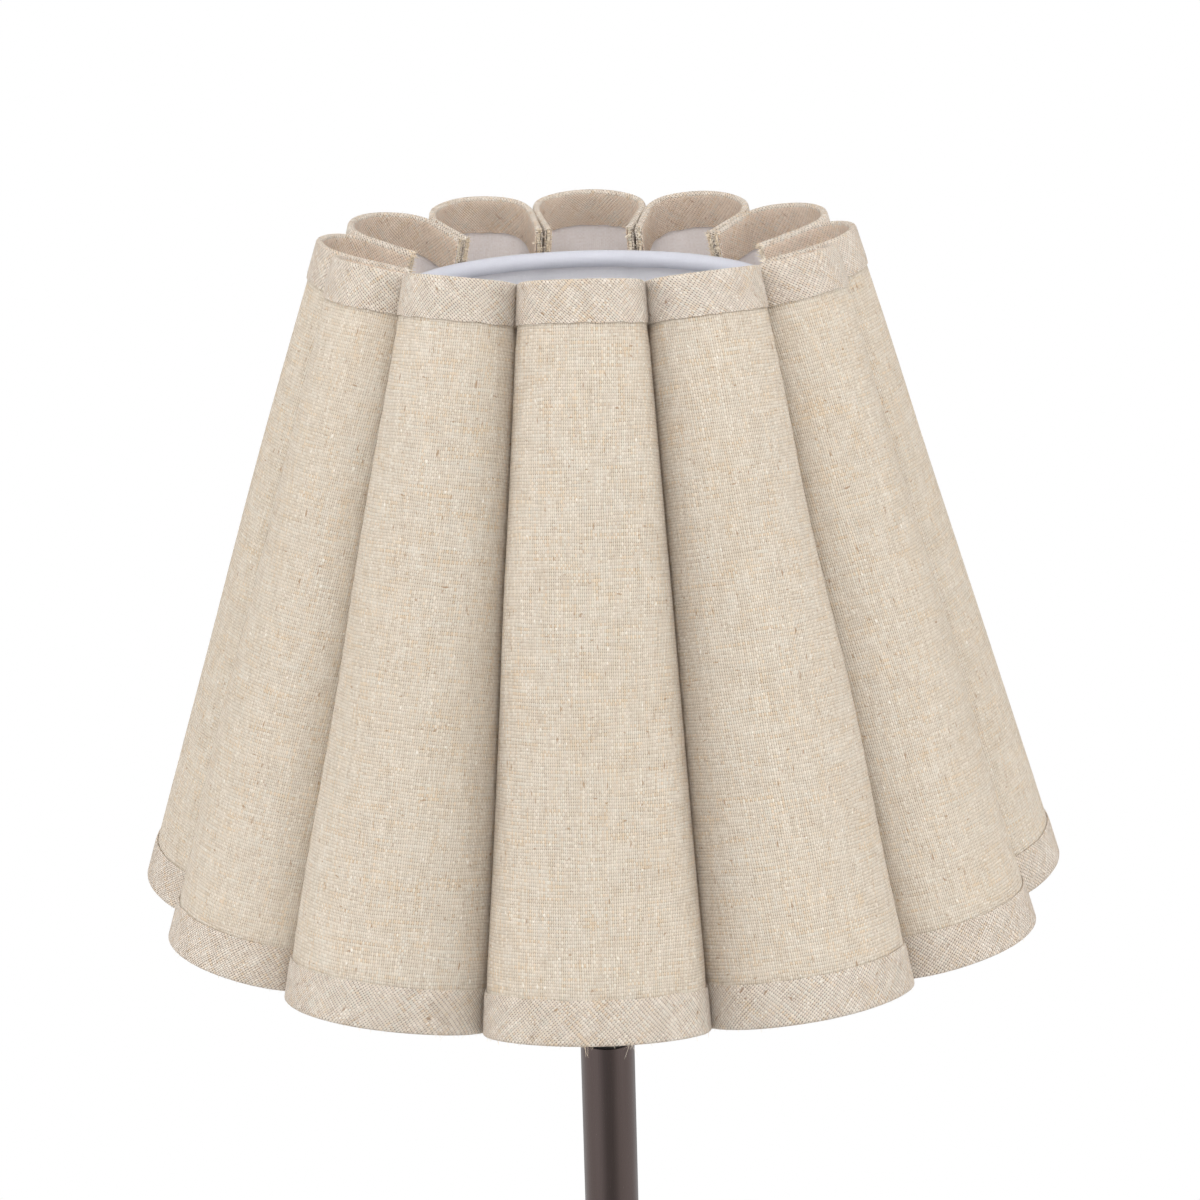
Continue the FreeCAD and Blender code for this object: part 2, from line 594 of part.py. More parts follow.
def torus(radius, tube_radius, z):
    """A wire ring or a rolled margin."""
    return Part.makeTorus(radius, tube_radius, V(0, 0, z))


def spokes(radius):
    """Straight rods of a given radius from the top of the fitter plate out to the bottom wire."""
    start = V(0, -(FITTER_RADIUS - SPOKE_WELD), FITTER_TOP_Z + WIRE_RADIUS)
    run = V(0, -BOTTOM_WIRE_RADIUS, BOTTOM_WIRE_Z) - start
    return turned_copies(Part.makeCylinder(radius, run.Length, start, run), SPOKE_COUNT, 0)


def fitter_plate():
    """Flat ring that the two shade rings clamp."""
    return ring(FITTER_HOLE_RADIUS, FITTER_RADIUS, FITTER_Z, FITTER_TOP_Z)


def fitter_spokes():
    """The spokes, each coped to the wire that it is welded to."""
    wire = bottom_wire()
    return Part.makeCompound([spoke.cut(wire) for spoke in spokes(WIRE_RADIUS)])


def bottom_wire():
    """Wire inside the lining's lower roll."""
    return torus(BOTTOM_WIRE_RADIUS, WIRE_RADIUS, BOTTOM_WIRE_Z)


def top_wire():
    """Wire inside the lining's upper roll."""
    return torus(TOP_WIRE_RADIUS, WIRE_RADIUS, TOP_WIRE_Z)


def lining_outer_radius(z):
    """Radius of the lining's outer face at height z."""
    return (TOP_WIRE_RADIUS + ROLL_RADIUS / math.cos(LINING_SLANT)
            + (TOP_WIRE_Z - z) * math.tan(LINING_SLANT))


def lining():
    """Cone of laminate with a roll round each wire, open for the spokes."""
    outward = V(math.cos(LINING_SLANT), 0, math.sin(LINING_SLANT))
    wires = [V(BOTTOM_WIRE_RADIUS, 0, BOTTOM_WIRE_Z), V(TOP_WIRE_RADIUS, 0, TOP_WIRE_Z)]
    outer = [centre + outward * ROLL_RADIUS for centre in wires]
    inner = [point - outward * LINING_SHEET for point in outer]
    wall = turned([(inner[0].x, inner[0].z), (outer[0].x, outer[0].z), (outer[1].x, outer[1].z),
                   (inner[1].x, inner[1].z)])
    rolls = [torus(centre.x, ROLL_RADIUS, centre.z) for centre in wires]
    tunnels = [torus(centre.x, WIRE_RADIUS + PLUG_FIT, centre.z) for centre in wires]
    return wall.fuse(rolls).removeSplitter().cut(tunnels + spokes(WIRE_RADIUS + LOOSE_FIT))


# Shade petals

def wall_section(z, outer_inset, inner_inset, end_gap):
    """Closed outline of a petal's wall at height z, for a petal that faces +Y.

    The wall lies between two insets from the outer face of the tapes. Its ends lie end_gap
    from the lining, its sides run radially, and its front is an arch of three arcs.
    """
    share = (z - SHADE_BASE_Z) / NOTCH_LINE_HEIGHT
    notch = share_between(BOTTOM_NOTCH_RADIUS, TOP_NOTCH_RADIUS, share)
    apex_y = notch + share_between(BOTTOM_PETAL_DEPTH, TOP_PETAL_DEPTH, share)
    corner = share_between(BOTTOM_CORNER_RADIUS, TOP_CORNER_RADIUS, share)
    setback = share_between(BOTTOM_SIDE_SETBACK, TOP_SIDE_SETBACK, share)
    side_top = ALONG_SIDE * (notch - setback) + TO_PETAL_MIDDLE * (PETAL_GAP / 2)
    corner_centre = side_top + TO_PETAL_MIDDLE * corner
    rise = apex_y - corner_centre.y
    crown = (corner_centre.x ** 2 + rise ** 2 - corner ** 2) / (2 * (rise - corner))
    crown_centre = V(0, apex_y - crown, 0)
    to_joint = (corner_centre - crown_centre).normalize()
    to_corner_middle = (to_joint - TO_PETAL_MIDDLE).normalize()
    end_radius = lining_outer_radius(z) + end_gap
    lift = V(0, 0, z)

    def face_points(inset):
        return [ALONG_SIDE * end_radius + TO_PETAL_MIDDLE * (PETAL_GAP / 2 + inset) + lift,
                side_top + TO_PETAL_MIDDLE * inset + lift,
                corner_centre + to_corner_middle * (corner - inset) + lift,
                crown_centre + to_joint * (crown - inset) + lift,
                V(0, apex_y - inset, z)]

    def face_edges(points):
        end, side, corner_middle, joint, apex = points
        left = [V(-p.x, p.y, p.z) for p in points]
        return [line(end, side), arc(side, corner_middle, joint), arc(joint, apex, left[3]),
                arc(left[3], left[2], left[1]), line(left[1], left[0])]

    outer = face_points(outer_inset)
    inner = face_points(inner_inset)
    outer_left = V(-outer[0].x, outer[0].y, z)
    inner_left = V(-inner[0].x, inner[0].y, z)
    edges = face_edges(outer) + [line(outer_left, inner_left)]
    edges += list(reversed(face_edges(inner))) + [line(inner[0], outer[0])]
    return Part.Wire(edges)


def petal_wall(outer_inset, inner_inset, end_gap):
    """Ruled wall of a petal, longer than the petal at both ends."""
    low = wall_section(SHADE_BASE_Z - OVERRUN, outer_inset, inner_inset, end_gap)
    high = wall_section(SHADE_BASE_Z + NOTCH_LINE_HEIGHT + OVERRUN, outer_inset, inner_inset,
                        end_gap)
    return Part.makeLoft([low, high], True, True)


def edge_line(at_top, inset):
    """Heights, on the axis and at the shade's reach, of a cone parallel to one edge of the shade.

    The cone is square to the shade's slant and lies inset from that edge, into the shade.
    """
    rise = inset * math.sqrt(1 + EDGE_SLOPE ** 2)
    if at_top:
        notch_radius = TOP_NOTCH_RADIUS
        notch_z = SHADE_BASE_Z + NOTCH_LINE_HEIGHT - rise
    else:
        notch_radius = BOTTOM_NOTCH_RADIUS
        notch_z = SHADE_BASE_Z + rise
    return (notch_z - notch_radius * EDGE_SLOPE,
            notch_z + (SHADE_REACH - notch_radius) * EDGE_SLOPE)


def edge_band(low_line, high_line):
    """Space between two such cones."""
    return turned([(0, low_line[0]), (SHADE_REACH, low_line[1]), (SHADE_REACH, high_line[1]),
                   (0, high_line[0])])


def petal():
    """One petal of cloth on its backing, cut square to its slant at both ends."""
    band = edge_band(edge_line(False, TAPE), edge_line(True, TAPE))
    return petal_wall(TAPE, TAPE + CLOTH, LOOSE_FIT).common(band)


def binding(cloth_petal, band):
    """Tape folded over one end of a petal: the taped wall in its band, less the petal."""
    taped_wall = petal_wall(0, TAPE * 2 + CLOTH, LOOSE_FIT * 2)
    return taped_wall.common(band).cut(cloth_petal)


def top_binding(cloth_petal):
    """The tape over the upper end of a petal."""
    return binding(cloth_petal, edge_band(edge_line(True, TOP_TAPE_WIDTH), edge_line(True, 0)))


def bottom_binding(cloth_petal):
    """The tape over the lower end of a petal."""
    return binding(cloth_petal,
                   edge_band(edge_line(False, 0), edge_line(False, BOTTOM_TAPE_WIDTH)))


# Building and writing the parts

def write(name, shape):
    """Writes one part's STEP file, and says so where the shape isn't sound."""
    if not shape.isValid() or min(solid.Volume for solid in shape.Solids) <= 0:
        print("Unsound shape:", name)
    shape.exportStep(os.path.join("parts", name + ".step"))
    print(name, len(shape.Solids), "solids", round(shape.Volume), "mm3")


def build():
    """Builds the whole lamp."""
    os.makedirs("parts", exist_ok=True)
    write("base_shell", base_shell())
    write("base_weight", base_weight())
    write("base_pad", base_pad())
    write("base_washer", base_washer())
    write("base_nut", hexagon_nut(BASE_NUT_Z))
    write("cable_grommet", cable_grommet())
    write("threaded_rod", threaded_rod())
    write("pole_foot_collar", pole_foot_collar())
    write("pole_tube", pole_tube())
    write("pole_bottom_bush", pole_bottom_bush())
    write("pole_top_bush", pole_top_bush())
    write("holder_cap", holder_cap())
    write("holder_nut", hexagon_nut(HOLDER_NUT_Z))
    write("holder_body", holder_body())
    write("holder_insert", holder_insert())
    write("terminal_screws", terminal_screws())
    write("screw_shell", screw_shell())
    write("centre_contact", centre_contact())
    write("bulb_contact", bulb_contact())
    write("bulb_insulator", bulb_insulator())
    write("bulb_cap", bulb_cap())
    write("bulb_glass", bulb_glass())
    write("bulb_stem", bulb_stem())
    write("bulb_filaments", bulb_filaments())
    write("lower_shade_ring", shade_ring(FITTER_Z, -1))
    write("upper_shade_ring", shade_ring(FITTER_TOP_Z, 1))
    write("fitter_plate", fitter_plate())
    write("fitter_spokes", fitter_spokes())
    write("bottom_wire", bottom_wire())
    write("top_wire", top_wire())
    write("lining", lining())
    cloth_petal = petal()
    for index, copy in enumerate(turned_copies(cloth_petal, PETAL_COUNT, FULL_TURN_DEG / 2)):
        write("petal_%02d" % (index + 1), copy)
    write("top_bindings",
          Part.makeCompound(turned_copies(top_binding(cloth_petal), PETAL_COUNT, 0)))
    write("bottom_bindings",
          Part.makeCompound(turned_copies(bottom_binding(cloth_petal), PETAL_COUNT, 0)))


build()
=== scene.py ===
"""Looks of a table lamp: a slim bronze pole with a linen shade of twelve bound petals.

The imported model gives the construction. This script dresses it: the cloth pieces are modelled
anew, the hard pieces get their finishes, and a pale studio and a camera are set round the lamp.
All lengths are in metres, Z is up and the lamp stands on the origin.
"""

from __future__ import annotations

import json
import logging
import math
import random
from dataclasses import dataclass, field
from enum import Enum

import bpy
import numpy as np
from mathutils import Matrix, Vector

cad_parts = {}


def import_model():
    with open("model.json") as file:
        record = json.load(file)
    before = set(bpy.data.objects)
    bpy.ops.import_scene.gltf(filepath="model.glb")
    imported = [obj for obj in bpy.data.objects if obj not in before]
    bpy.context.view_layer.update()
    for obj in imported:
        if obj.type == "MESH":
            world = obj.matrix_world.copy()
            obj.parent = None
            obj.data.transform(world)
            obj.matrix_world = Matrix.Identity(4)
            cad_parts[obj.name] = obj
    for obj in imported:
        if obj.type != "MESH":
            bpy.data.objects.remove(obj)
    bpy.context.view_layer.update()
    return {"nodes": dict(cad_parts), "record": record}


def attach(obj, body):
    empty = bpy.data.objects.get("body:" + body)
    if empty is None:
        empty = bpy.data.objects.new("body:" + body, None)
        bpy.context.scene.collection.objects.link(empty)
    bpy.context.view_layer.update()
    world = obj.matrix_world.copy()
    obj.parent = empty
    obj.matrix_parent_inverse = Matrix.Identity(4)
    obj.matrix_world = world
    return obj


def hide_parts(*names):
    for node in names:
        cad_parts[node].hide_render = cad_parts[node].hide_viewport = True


MM = 0.001
PIXELS = 1200
FULL_CHANNEL = 255
DARK_END = 0.04045
DARK_SLOPE = 12.92
CURVE_OFFSET = 0.055
CURVE_POWER = 2.4
WELD_DISTANCE = 0.001 * MM
FIRST_NUMBER, SECOND_NUMBER = 2, 3
FIRST_COLOUR, SECOND_COLOUR = 6, 7
MIXED_NUMBER, MIXED_COLOUR = 0, 2
LOG = logging.getLogger("lamp")

Colour = tuple[float, float, float]
Triple = tuple[float, float, float]


class Body(Enum):
    """The bodies that pieces ride on."""

    ROOT = "root"
    LOWER_RING = "lower_ring"
    SHADE = "shade"
    UPPER_RING = "upper_ring"
    BULB = "bulb"


class Slot(Enum):
    """The record's material slots."""

    BRONZE = "bronze"
    BLACK_METAL = "black_metal"
    CAST_IRON = "cast_iron"
    FELT = "felt"
    ZINC_STEEL = "zinc_steel"
    RUBBER = "grommet_rubber"
    BLACK_PLASTIC = "black_plastic"
    CERAMIC = "ceramic"
    BRASS = "brass"
    CAP_METAL = "cap_metal"
    BLACK_GLASS = "black_glass"
    CLEAR_GLASS = "clear_glass"
    FILAMENT = "filament"
    WHITE_WIRE = "white_wire"
    LINING = "lining_cloth"
    LINEN = "linen"
    TAPE = "linen_tape"


def paint(red: int, green: int, blue: int) -> Colour:
    """Turns a colour as seen on a screen into the linear colour that shaders use.

    Args:
        red: Red from 0 to 255.
        green: Green from 0 to 255.
        blue: Blue from 0 to 255.

    Returns:
        The linear colour.
    """
    shares = [channel / FULL_CHANNEL for channel in (red, green, blue)]
    curved = [((share + CURVE_OFFSET) / (1 + CURVE_OFFSET)) ** CURVE_POWER for share in shares]
    return tuple(share / DARK_SLOPE if share <= DARK_END else high
                 for share, high in zip(shares, curved))


class Wiring:
    """Adds nodes to one shader tree and links them."""

    def __init__(self, tree: bpy.types.NodeTree) -> None:
        """Starts with an empty tree.

        Args:
            tree: The tree of a material, a world or a node group.
        """
        self.tree = tree
        tree.nodes.clear()

    def add(self, kind: str, **settings: object) -> bpy.types.Node:
        """Adds a node.

        Args:
            kind: The node's type without its ShaderNode prefix.
            **settings: Properties of the node.

        Returns:
            The new node.
        """
        node = self.tree.nodes.new("ShaderNode" + kind)
        for name, value in settings.items():
            setattr(node, name, value)
        return node

    def feed(self, socket: bpy.types.NodeSocket, value: object) -> None:
        """Links a socket to an input, or writes a constant there.

        Args:
            socket: The input.
            value: Another node's output, a number or a colour.
        """
        if isinstance(value, bpy.types.NodeSocket):
            self.tree.links.new(value, socket)
        elif isinstance(value, tuple) and len(value) == 3 and socket.type == "RGBA":
            socket.default_value = (*value, 1)
        else:
            socket.default_value = value

    def sum(self, operation: str, *values: object) -> bpy.types.NodeSocket:
        """Adds a Math node and returns its result.

        Args:
            operation: The Math node's operation.
            *values: Its inputs, in order.

        Returns:
            The result's socket.
        """
        node = self.add("Math", operation=operation)
        for socket, value in zip(node.inputs, values):
            self.feed(socket, value)
        return node.outputs[0]

    def blend(self, share: object, low: object, high: object) -> bpy.types.NodeSocket:
        """Mixes two colours.

        Args:
            share: The share of the second colour.
            low: The first colour.
            high: The second colour.

        Returns:
            The result's socket.
        """
        node = self.add("Mix", data_type="RGBA")
        self.feed(node.inputs[0], share)
        self.feed(node.inputs[FIRST_COLOUR], low)
        self.feed(node.inputs[SECOND_COLOUR], high)
        return node.outputs[MIXED_COLOUR]

    def between(self, share: object, low: object, high: object) -> bpy.types.NodeSocket:
        """Mixes two numbers.

        Args:
            share: The share of the second number.
            low: The first number.
            high: The second number.

        Returns:
            The result's socket.
        """
        node = self.add("Mix", data_type="FLOAT")
        self.feed(node.inputs[0], share)
        self.feed(node.inputs[FIRST_NUMBER], low)
        self.feed(node.inputs[SECOND_NUMBER], high)
        return node.outputs[MIXED_NUMBER]

    def ramp(self, value: object, start: float, end: float, low: float = 0.0,
             high: float = 1.0) -> bpy.types.NodeSocket:
        """Maps a stretch of values smoothly onto another.

        Args:
            value: What is mapped.
            start: The value that gives the low end.
            end: The value that gives the high end.
            low: The low end.
            high: The high end.

        Returns:
            The result's socket.
        """
        node = self.add("MapRange", interpolation_type="SMOOTHSTEP")
        for index, number in enumerate((value, start, end, low, high)):
            self.feed(node.inputs[index], number)
        return node.outputs[0]

    def vector(self, x: object, y: object, z: object = 0.0) -> bpy.types.NodeSocket:
        """Combines three numbers.

        Args:
            x: The first number.
            y: The second number.
            z: The third number.

        Returns:
            The vector's socket.
        """
        node = self.add("CombineXYZ")
        for socket, value in zip(node.inputs, (x, y, z)):
            self.feed(socket, value)
        return node.outputs[0]

    def noise(self, vector: object, scale: float = 1.0, detail: float = 2.0,
              roughness: float = 0.5) -> bpy.types.NodeSocket:
        """Adds a Noise texture.

        Args:
            vector: Where it is read.
            scale: Its scale.
            detail: Its number of finer layers.
            roughness: How strong the finer layers are.

        Returns:
            The socket of its value.
        """
        node = self.add("TexNoise")
        self.feed(node.inputs["Vector"], vector)
        node.inputs["Scale"].default_value = scale
        node.inputs["Detail"].default_value = detail
        node.inputs["Roughness"].default_value = roughness
        return node.outputs["Fac"]

    def scaled(self, vector: object, scale: Triple, turn_deg: float = 0.0) -> bpy.types.NodeSocket:
        """Scales a vector and turns it about Z.

        Args:
            vector: The vector.
            scale: The scale along each axis.
            turn_deg: The turn in degrees.

        Returns:
            The result's socket.
        """
        node = self.add("Mapping")
        self.feed(node.inputs["Vector"], vector)
        node.inputs["Rotation"].default_value = (0, 0, math.radians(turn_deg))
        node.inputs["Scale"].default_value = scale
        return node.outputs[0]

    def product(self, *values: object) -> bpy.types.NodeSocket:
        """Multiplies two numbers and returns the result's socket."""
        return self.sum("MULTIPLY", *values)


def new_group(name: str, inputs: dict[str, str], outputs: dict[str, str]) -> tuple[Wiring, dict, dict]:
    """Starts a shader node group.

    Args:
        name: The group's name.
        inputs: Socket types by input name.
        outputs: Socket types by output name.

    Returns:
        The group's wiring, its input sockets and its output sockets by name.
    """
    tree = bpy.data.node_groups.new(name, "ShaderNodeTree")
    wiring = Wiring(tree)
    for socket_name, kind in inputs.items():
        tree.interface.new_socket(socket_name, in_out="INPUT", socket_type="NodeSocket" + kind)
    for socket_name, kind in outputs.items():
        tree.interface.new_socket(socket_name, in_out="OUTPUT", socket_type="NodeSocket" + kind)
    entry = tree.nodes.new("NodeGroupInput")
    leave = tree.nodes.new("NodeGroupOutput")
    given = {socket_name: entry.outputs[socket_name] for socket_name in inputs}
    wanted = {socket_name: leave.inputs[socket_name] for socket_name in outputs}
    return wiring, given, wanted


class Effect(Enum):
    """Shader node groups that several finishes share, by name."""

    WEAVE = "Plain weave"
    FLECKS = "Cloth flecks"
    GRAIN = "Surface grain"


@dataclass(frozen=True)
class PlainWeave:
    """Plain weave over a vector that is counted in threads.

    A rate is how fast a noise changes along a thread, a step is how far it jumps to the next
    thread, and a slice keeps one noise apart from another.
    """

    drift: float = 1.8
    drift_rate: float = 0.13
    slow_drift_rate: float = 0.03
    drift_slice: float = 9.0
    middle_share: float = 0.5
    tone_step: float = 3.7
    warp_tone_rate: float = 0.13
    weft_tone_rate: float = 0.1
    weft_tone_slice: float = 5.0
    weft_tone_share: float = 0.6
    weft_tone_least: float = 0.2
    edge_share: float = 0.22
    tone_edge_share: float = 0.25
    side_start: float = -0.02
    side_end: float = 0.2
    hole_start: float = 0.2
    hole_end: float = 0.42
    crown_rate: float = 2.9
    round_rate: float = 2.7
    crown_share: float = 0.5
    weft_line_share: float = 0.1
    dark_tone: float = 0.3
    pale_tone: float = 0.7
    dark_hole_share: float = 1.5
    pale_hole_share: float = 0.5
    yarn_step: float = 2.9
    warp_yarn_rate: float = 0.07
    warp_yarn_slice: float = 21.0
    weft_yarn_rate: float = 0.06
    weft_yarn_slice: float = 33.0

    def build(self, name: str) -> bpy.types.NodeTree:
        """Builds the group.

        Args:
            name: The group's name.

        Returns:
            A group that gives each thread's tone and yarn, where the warp lies on top, the
            holes and lines between threads, and the threads' height.
        """
        w, given, wanted = new_group(name, {"Vector": "Vector"},
                                     {"Tone": "Float", "Yarn": "Float", "Warp": "Float",
                                      "Hole": "Float", "Line": "Float", "Height": "Float"})
        parts = w.add("SeparateXYZ")
        w.feed(parts.inputs[0], given["Vector"])
        x, y = parts.outputs[0], parts.outputs[1]
        drift_x = w.noise(w.vector(w.product(x, self.drift_rate), w.product(y, self.slow_drift_rate)),
                          detail=1.0)
        drift_y = w.noise(w.vector(w.product(x, self.slow_drift_rate), w.product(y, self.drift_rate),
                                   self.drift_slice), detail=1.0)
        x = w.sum("MULTIPLY_ADD", drift_x, self.drift, x)
        y = w.sum("MULTIPLY_ADD", drift_y, self.drift, y)
        column, row = w.sum("FLOOR", x), w.sum("FLOOR", y)
        from_warp = w.sum("ABSOLUTE", w.sum("SUBTRACT", w.sum("FRACT", x), self.middle_share))
        from_weft = w.sum("ABSOLUTE", w.sum("SUBTRACT", w.sum("FRACT", y), self.middle_share))
        odd = w.sum("FRACT", w.product(w.sum("ADD", column, row), self.middle_share))
        over = w.product(odd, 1 / self.middle_share)
        warp_tone = w.noise(w.vector(w.product(column, self.tone_step),
                                     w.product(y, self.warp_tone_rate)))
        weft_tone = w.noise(w.vector(w.product(x, self.weft_tone_rate),
                                     w.product(row, self.tone_step), self.weft_tone_slice))
        weft_tone = w.sum("MULTIPLY_ADD", weft_tone, self.weft_tone_share, self.weft_tone_least)
        tone = w.between(over, weft_tone, warp_tone)
        across = w.between(over, from_weft, from_warp)
        along = w.between(over, from_warp, from_weft)
        edge = w.sum("MULTIPLY_ADD", tone, self.tone_edge_share, self.edge_share)
        side = w.ramp(w.sum("SUBTRACT", across, edge), self.side_start, self.side_end)
        hole = w.product(side, w.ramp(along, self.hole_start, self.hole_end))
        crown = w.sum("COSINE", w.product(along, self.crown_rate))
        round_thread = w.sum("COSINE", w.product(across, self.round_rate))
        w.feed(wanted["Tone"], tone)
        w.feed(wanted["Warp"], over)
        # Line and Hole mask the threads' sides and the holes between threads, where the linen paints
        # shade.
        w.feed(wanted["Line"], w.product(side, w.between(over, self.weft_line_share, 1.0)))
        w.feed(wanted["Hole"], w.product(hole, w.ramp(tone, self.dark_tone, self.pale_tone,
                                                      self.dark_hole_share, self.pale_hole_share)))
        warp_yarn = w.noise(w.vector(w.product(column, self.yarn_step),
                                     w.product(y, self.warp_yarn_rate), self.warp_yarn_slice))
        weft_yarn = w.noise(w.vector(w.product(x, self.weft_yarn_rate),
                                     w.product(row, self.yarn_step), self.weft_yarn_slice))
        w.feed(wanted["Yarn"], w.between(over, weft_yarn, warp_yarn))
        lift = w.sum("MULTIPLY_ADD", crown, self.crown_share, 1 - self.crown_share)
        w.feed(wanted["Height"], w.product(round_thread, lift))
        return w.tree


@dataclass(frozen=True)
class ClothFlecks:
    """Dark flecks and pale nubs of an unbleached yarn, over a vector counted in threads."""

    upright_scale: Triple = (0.6, 0.22, 1)
    level_scale: Triple = (0.22, 0.6, 1)
    level_zoom: float = 1.07
    fleck_detail: float = 1.5
    upright_start: float = 0.66
    upright_end: float = 0.78
    level_start: float = 0.67
    level_end: float = 0.79
    nub_scale: Triple = (0.62, 0.5, 1)
    nub_zoom: float = 0.93
    nub_start: float = 0.79
    nub_end: float = 0.86
    cloud_scale: Triple = (0.022, 0.012, 1)
    cloud_detail: float = 3.0

    def build(self, name: str) -> bpy.types.NodeTree:
        """Builds the group.

        Args:
            name: The group's name.

        Returns:
            A group that gives masks of dark flecks, pale nubs and broad mottling.
        """
        w, given, wanted = new_group(name, {"Vector": "Vector"},
                                     {"Dark": "Float", "Pale": "Float", "Cloud": "Float"})
        vector = given["Vector"]
        upright = w.noise(w.scaled(vector, self.upright_scale), detail=self.fleck_detail)
        level = w.noise(w.scaled(vector, self.level_scale), scale=self.level_zoom,
                        detail=self.fleck_detail)
        upright_fleck = w.ramp(upright, self.upright_start, self.upright_end)
        level_fleck = w.ramp(level, self.level_start, self.level_end)
        w.feed(wanted["Dark"], w.sum("MAXIMUM", upright_fleck, level_fleck))
        nub = w.noise(w.scaled(vector, self.nub_scale), scale=self.nub_zoom, detail=0.0)
        w.feed(wanted["Pale"], w.ramp(nub, self.nub_start, self.nub_end))
        w.feed(wanted["Cloud"], w.noise(w.scaled(vector, self.cloud_scale), detail=self.cloud_detail))
        return w.tree


@dataclass(frozen=True)
class SurfaceGrain:
    """Fine grain and broad clouding of a hard surface."""

    grain_detail: float = 4.0
    grain_roughness: float = 0.6
    cloud_zoom: float = 0.06
    cloud_detail: float = 2.0

    def build(self, name: str) -> bpy.types.NodeTree:
        """Builds the group.

        Args:
            name: The group's name.

        Returns:
            A group that gives a grain value and a cloud value.
        """
        w, given, wanted = new_group(name, {"Vector": "Vector"}, {"Grain": "Float", "Cloud": "Float"})
        w.feed(wanted["Grain"], w.noise(given["Vector"], detail=self.grain_detail,
                                        roughness=self.grain_roughness))
        w.feed(wanted["Cloud"], w.noise(given["Vector"], scale=self.cloud_zoom,
                                        detail=self.cloud_detail))
        return w.tree


EFFECTS = {Effect.WEAVE: PlainWeave(), Effect.FLECKS: ClothFlecks(), Effect.GRAIN: SurfaceGrain()}


def place_group(wiring: Wiring, effect: Effect, vector: object) -> bpy.types.Node:
    """Adds a shared effect to a material, and builds its group the first time.

    Args:
        wiring: The material's wiring.
        effect: The effect.
        vector: What feeds its vector.

    Returns:
        The group's node.
    """
    name = effect.value
    group = bpy.data.node_groups.get(name) or EFFECTS[effect].build(name)
    node = wiring.add("Group", node_tree=group)
    wiring.feed(node.inputs["Vector"], vector)
    return node


def new_material(name: str) -> tuple[bpy.types.Material, Wiring, bpy.types.Node]:
    """Starts a material with its Principled shader and output.

    Args:
        name: The material's name.

    Returns:
        The material, its wiring and its Principled node.
    """
    material = bpy.data.materials.new(name)
    material.use_nodes = True
    wiring = Wiring(material.node_tree)
    shader = wiring.add("BsdfPrincipled")
    output = wiring.add("OutputMaterial")
    wiring.feed(output.inputs["Surface"], shader.outputs[0])
    return material, wiring, shader


def let_light_through(wiring: Wiring, shader: bpy.types.Node, colour: object, share: float) -> None:
    """Lets a share of the light pass through a cloth and spread.

    Args:
        wiring: The material's wiring.
        shader: The Principled node.
        colour: The colour that the light takes on.
        share: The share of light that isn't turned back.
    """
    output = next(node for node in wiring.tree.nodes if node.type == "OUTPUT_MATERIAL")
    through = wiring.add("BsdfTranslucent")
    wiring.feed(through.inputs["Color"], colour)
    mixed = wiring.add("MixShader")
    wiring.feed(mixed.inputs[0], share)
    wiring.feed(mixed.inputs[1], shader.outputs[0])
    wiring.feed(mixed.inputs[2], through.outputs[0])
    wiring.feed(output.inputs["Surface"], mixed.outputs[0])


def add_bump(wiring: Wiring, shader: bpy.types.Node, height: object, distance: float,
             strength: float = 1.0) -> None:
    """Feeds a shader's normal from a height.

    Args:
        wiring: The material's wiring.
        shader: The Principled node.
        height: The height from 0 to 1.
        distance: The depth of a height of 1, in metres.
        strength: The bump's strength.
    """
    bump = wiring.add("Bump")
    bump.inputs["Strength"].default_value = strength
    bump.inputs["Distance"].default_value = distance
    wiring.feed(bump.inputs["Height"], height)
    wiring.feed(shader.inputs["Normal"], bump.outputs[0])


